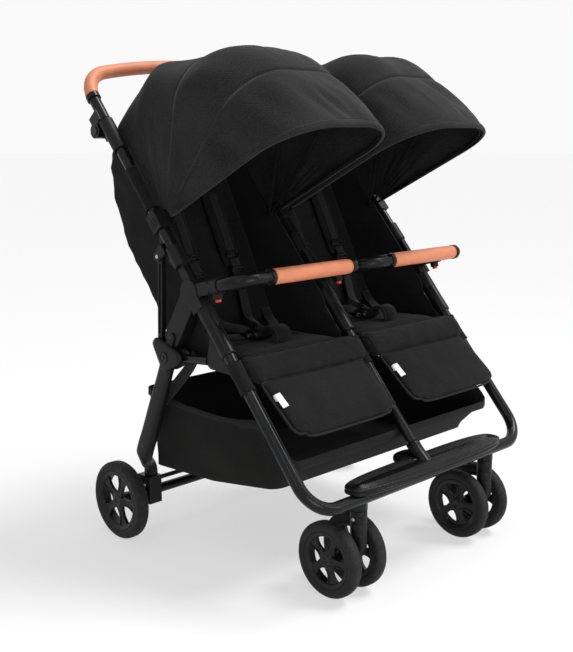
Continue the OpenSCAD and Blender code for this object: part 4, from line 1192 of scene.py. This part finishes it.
def make_harness():
    """Shoulder pads with webbing and rings, and the belts down to the buckle."""
    face = Vector((0, -math.sin(BACK_TILT), math.cos(BACK_TILT)))
    for side, tag in NAMES.items():
        cx = side * SEAT_X
        body = f"backrest_{tag}"
        pads, webs, rings, edges, belts = [], [], [], [], []
        for m in SIDES:
            def on_back(*spots):
                return [back_point(cx + m * x, up, out) for x, up, out in spots]

            def on_seat(*spots):
                return [at(cx + m * x, y, z) for x, y, z in spots]

            place = Matrix.Translation(back_point(cx + m * 58, 246, 9)) @ Matrix.Rotation(BACK_TILT, 4, "X")
            pad = pad_mesh("shoulder", SHOULDER_PAD, 4, 0.08, SEAT, n=16)
            pads.append(placed_pad(wrinkled(pad, 0.8, 40, m), place))
            edge = [place @ p for p in pad_edge(SHOULDER_PAD, 0.08, 10)]
            edges.append(sweep("edge", edge, ring(1.8, 6), BINDING, closed=True))
            for x in (-15, 15):
                line = [place @ (Vector((x, y, 6.6)) * MM) for y in range(-84, 85, 6)]
                edges.append(sweep("edge", line, ring(0.7, 5), BINDING))
            upper = curve_through(on_back((58, 352, 1.5), (58, 342, 6), (58, 318, 16.4)), 6)
            middle = on_back(*((58, u, 16.6 + 0.5 * math.sin(u * 0.06)) for u in range(318, 164, -7)))
            lower = curve_through(on_back((58, 166, 17), (58, 152, 19), (57, 140, 17)), 6)
            for line, wide, t in ((upper, 25, 1.6), (middle, 22, 1.4), (lower, 25, 1.6)):
                webs.append(sweep("web", line, ribbon(wide, t), WEBBING, face=face))
            for up in (140, 176):
                x = cx + m * 57.5
                loop = [back_point(x + 16 * rounded(math.cos(t), 0.6), up + 7.5 * math.sin(t), 18.5)
                        for t in circle(32)]
                bar = [back_point(x + k, up, 18.9) for k in range(-15, 16, 5)]
                rings.append(sweep("ring", loop, ring(2.1, 8), GLOSS, closed=True))
                rings.append(sweep("bar", bar, ring(1.8, 8), GLOSS))
            chest = on_back((57, 138, 16), (54, 84, 15), (46, 34, 16))
            chest += on_seat((38, -196, 488), (30, -222, 486), (22, BUCKLE_Y + 12, 480))
            hip = on_back((118, 46, 0.5), (112, 24, 9))
            hip += on_seat((90, -202, 478), (60, -230, 474), (28, BUCKLE_Y + 4, 475))
            for line, way in ((chest, face), (hip, Vector((0, -0.25, 1)))):
                belts.append(sweep("belt", curve_through(line, 8), ribbon(24, 1.7), WEBBING, face=way))
        pad = joined(f"shoulder_pads_{tag}", pads)
        attach(pad, body, "seat_fabric", f"straps_{tag}")
        attach(joined(f"shoulder_piping_{tag}", edges), body, "seat_fabric")
        attach(joined(f"shoulder_webbing_{tag}", webs), body, "seat_fabric")
        attach(joined(f"strap_rings_{tag}", rings), body, "gloss")
        attach(joined(f"harness_belts_{tag}", belts), ("chassis", body, at(cx, -226, 480), at(cx, -168, 490)),
               "seat_fabric")
        make_buckle(cx, tag)


# Rear legs, hubs and foot board

LEG_LINE = ((348, -168, 448), (347, -138, 376), (345.5, -92, 268), (345, -72, 226), (342.5, -60, 202),
            (332, -46, 187), (314, -28, 177), (299, -16, 165), (291, -12, 148), (290, -12, 131))
HUB_COVER = ((357.1, 0.0), (363.5, 0.0), (366.0, 0.03), (367.4, 0.09), (367.8, 0.2))
HUB_INNER = ((333, 0.06), (334, 0.0), (339.5, 0.0))
HUB_LINK = ((357.1, 0.0), (360.5, 0.0), (361.2, 0.06))
BOARD_HALF = (243, 39)
BOARD_Y = -572
BOARD_EDGE = ((0.86, 217.5), (0.97, 218.2), (1.0, 220.0), (1.0, 223.4), (0.94, 224.2), (0.94, 225.4),
              (0.99, 226.2), (1.0, 228.5), (0.985, 231.2), (0.95, 232.6), (0.91, 232.8), (0.88, 231.6))


def make_rear_legs():
    """Flat oval legs that turn in at the heel and run down to the axle brackets as round posts."""
    def size_at(f):
        thin = ease((f - 0.72) / 0.2)
        thick = lerp(7.8, 11.0, ease((f - 0.15) / 0.25))
        return lerp(lerp(18.5, 22.0, f), 12.5, thin), lerp(thick, 12.5, thin)

    legs = []
    for side in SIDES:
        line = resample(curve_through([at(side * x, y, z) for x, y, z in LEG_LINE], 8), 60)
        legs.append(loft("leg", line, size_at, (1, 0, 0), PLASTIC, 28, 0.5))
    attach(joined("rear_leg_tubes", legs), "rear_frame", "moulding", "rear_legs")


def hull_of_discs(discs, steps=10):
    """Outline round discs (y, z, radius) given in counter-clockwise order."""
    out = []
    for i, (y, z, r) in enumerate(discs):
        before, after = discs[i - 1], discs[(i + 1) % len(discs)]
        a0 = math.atan2(z - before[1], y - before[0]) - math.pi / 2
        a1 = math.atan2(after[1] - z, after[0] - y) - math.pi / 2
        turn = [a0 + (a1 - a0) % (2 * math.pi) * k / steps for k in range(steps + 1)]
        out += [(y + r * math.cos(a), z + r * math.sin(a)) for a in turn]
    return out


def plate_of(name, outline, levels, side):
    """A flat cover: the outline drawn in towards its middle by the share given at each x."""
    cy, cz = (sum(p[k] for p in outline) / len(outline) for k in (0, 1))
    rows = [[at(side * x, lerp(y, cy, inset), lerp(z, cz, inset)) for y, z in outline] for x, inset in levels]
    return capped(name, rows, PLASTIC)


def make_hubs():
    """Hub covers: soft edged outer cover, inner plate, pins, and the link that holds the arm."""
    outline = hull_of_discs(((-144, 466, 13), (-206, 445, 15), (-170, 428, 16)))
    link = hull_of_discs(((-186, 484, 10), (-165, 441, 10)), 14)
    for side, tag in NAMES.items():
        parts = [plate_of("cover", outline, HUB_COVER, side), plate_of("inner", outline, HUB_INNER, side),
                 plate_of("link", link, HUB_LINK, side)]
        for y, z, r in ((-160, 440, 6), (-139, 466, 4), (-192, 441, 11)):
            pin = spun("pin", [(0.01, 334), (r, 334), (r, 358), (0.01, 358)], PLASTIC, 28, side)
            parts.append(shifted(pin, at(0, y, z)))
        line = [at(side * SIDE_X, -192, 441), at(side * SIDE_X, -205.2, 442.2)]
        parts.append(sweep("spigot", line, ring(8.4, 20), PLASTIC))
        attach(joined(f"hub_cover_{tag}", parts), "chassis", "moulding", "hub_covers")


def make_foot_board():
    """Foot board: crowned top ribbed along its outline, lip and tray below, neck up the centre tube."""
    half, half_l = BOARD_HALF
    turn = [(rounded(math.cos(a), 0.62), rounded(math.sin(a), 0.62)) for a in circle(200)]

    def loop(k, z):
        inset = (1 - k) * half_l
        return [at((half - inset) * c, BOARD_Y + (half_l - inset) * s, z) for c, s in turn]

    def neck_size(f):
        return lerp(19, 13.8, ease(f * 1.2)), lerp(16, 13.8, ease(f * 1.2))

    rows = [loop(k, z) for k, z in BOARD_EDGE]
    for i in range(58):
        k = lerp(0.86, 0.03, i / 57)
        rib = 0.55 * math.cos(2 * math.pi * (k - 0.86) * half_l / 4.8) * ease((k - 0.2) / 0.1)
        rows.append(loop(k, 231.4 + 1.6 * (1 - k) + rib))
    board = capped("board", rows, GLOSS)
    lobe = shifted(slab("lobe", 40, 32, 219.5, 234.5, GLOSS, power=2.4, dome=2.0), at(0, -528, 0))
    line = [along(0, lerp(-497, -432, k / 12)) for k in range(13)]
    neck = loft("neck", line, neck_size, (1, 0, 0), GLOSS, 32, 0.85)
    attach(joined("foot_board", [board, lobe, neck]), "chassis", "gloss", "footrest")


# Trims

HUB_CAP = [(0.01, 1.2), (5.0, 1.2), (5.6, 0.5), (8.4, 0.5), (9.0, 1.4), (11.6, 1.4), (12.4, 0.4),
           (12.4, -0.8)]


def rivet(x, y, z, face, r, mat):
    """Domed rivet head on a face that looks along X."""
    profile = [(0.01, 1.6), (r * 0.5, 1.5), (r * 0.85, 1.0), (r, 0.2), (r, -0.6)]
    return shifted(spun("rivet", profile, mat, 24, face), at(x, y, z))


def make_trims():
    """Tube sleeves, rivets, caps and cover lines on the fixed and folding mouldings."""
    def sleeve_scale(f):
        return 1 - 0.13 * (f < 0.1 or f > 0.9)

    fixed, rear, upper = [], [], []
    for x in (-SIDE_X, 0, SIDE_X):
        line = [along(x, s) for s in (-62, -63, -66, -150, -153, -154)]
        fixed.append(sweep("sleeve", line, ring(16.5, 32), GLOSS, scale=sleeve_scale))
    for side in SIDES:
        fixed.append(rivet(side * 367.1, -139, 466, side, 5.5, BUTTON))
        fixed.append(rivet(side * 361.0, -186, 484, side, 4.0, BUTTON))
        fixed.append(shifted(spun("cap", HUB_CAP, GLOSS, 40, side), at(side * 368.6, -170, 441)))
        rear.append(rivet(side * 306, -8, 108, side, 3.4, STEEL))
        rear.append(rivet(side * 355.6, -74, 228, side, 5.0, BUTTON))
        upper.append(rivet(side * 360, *side_point(113.5, -38), side, 4.2, STEEL))
        for k in range(4):
            line = [along(side * (SIDE_X + 8.6), 161 + 5.5 * k, n) for n in (-10, -5, 0, 5, 10)]
            line = [p + Vector((side * 5.5, 0, 0)) * MM for p in line]
            upper.append(sweep("ridge", line, ring(0.9, 6), PLASTIC))
    for name, parts, body in (("hub_trims", fixed, "chassis"), ("rear_trims", rear, "rear_frame"),
                              ("upper_trims", upper, "upper_frame")):
        attach(joined(name, parts), body, "moulding")


# Stage

FLOOR_HALF = 40  # in metres


def seen(tree):
    """1 on rays that show the backdrop itself: from the camera, by reflection and through glass."""
    path = tree.add("LightPath").outputs
    fac = tree.math("MAXIMUM", path["Is Camera Ray"], path["Is Glossy Ray"])
    return tree.math("MAXIMUM", fac, path["Is Transmission Ray"])


def make_camera(scene):
    camera = bpy.data.objects.new("camera", bpy.data.cameras.new("camera"))
    camera.data.sensor_width = 36
    camera.data.lens = 54.43
    camera.location = (-1.5755, -1.7508 + SHIFT * MM, 0.8922)
    camera.rotation_euler = (math.radians(90 - 11.03), 0, math.radians(-44.67))
    camera.data.clip_end = 100
    scene.collection.objects.link(camera)
    scene.camera = camera


def make_floor():
    mat, tree, bsdf = shader("pale_floor")
    tree.feed(bsdf, Base_Color=(0.97, 0.97, 0.97, 1), Roughness=1.0, Specular_IOR_Level=0.0)
    glow = tree.add("Emission", Color=(*BACKDROP, 1), Strength=1.0)
    tree.mix(tree.math("MULTIPLY", seen(tree), 0.6), bsdf, glow, "Material Output")
    corners = [Vector((x, y, 0)) * FLOOR_HALF for x, y in ((-1, -1), (1, -1), (1, 1), (-1, 1))]
    build("floor", corners, [(0, 1, 2, 3)], mat)


def aimed(name, kind, place, target, power, **settings):
    lamp = bpy.data.lights.new(name, kind)
    lamp.energy = power
    for key, value in settings.items():
        setattr(lamp, key, value)
    obj = bpy.data.objects.new(name, lamp)
    obj.location = place
    obj.rotation_euler = (Vector(target) - Vector(place)).to_track_quat("-Z", "Y").to_euler()
    bpy.context.scene.collection.objects.link(obj)


def make_stage():
    scene = bpy.context.scene
    scene.view_settings.view_transform = "Standard"
    make_camera(scene)
    scene.world = bpy.data.worlds.new("studio")
    tree = Tree(scene.world)
    soft = tree.feed(tree.nodes["Background"], Color=(1, 1, 1, 1), Strength=0.31)
    shown = tree.add("Background", Color=(*BACKDROP, 1), Strength=1.0)
    tree.mix(seen(tree), soft, shown, "World Output")
    make_floor()
    aimed("key", "SUN", (1.2, -0.9, 2.4), (0, 0, 0), 2.3, angle=math.radians(24))
    for name, place, target, power, size, size_y in (
        ("strip_left", (-2.6, -1.2, 2.4), (0, -0.2, 0.5), 8, 0.06, 2.6),
        ("strip_right", (1.9, -2.6, 2.2), (0, -0.2, 0.5), 18, 0.08, 2.6),
        ("front_fill", (-0.7, -2.7, 0.75), (0, 0, 0.65), 22, 1.4, 1.0),
        ("crown", (0.3, 0.3, 3.4), (0, -0.1, 0.8), 22, 1.6, 0.6),
    ):
        aimed(name, "AREA", place, target, power, shape="RECTANGLE", size=size, size_y=size_y)


make_stage()
for side in SIDES:
    make_canopy(side)
    make_shell(side)
    make_sling(side)
    make_roll(side)
make_pads()
make_sleeves()
make_wheels()
make_casters()
make_grips()
make_basket()
make_harness()
make_rear_legs()
make_hubs()
make_foot_board()
make_trims()
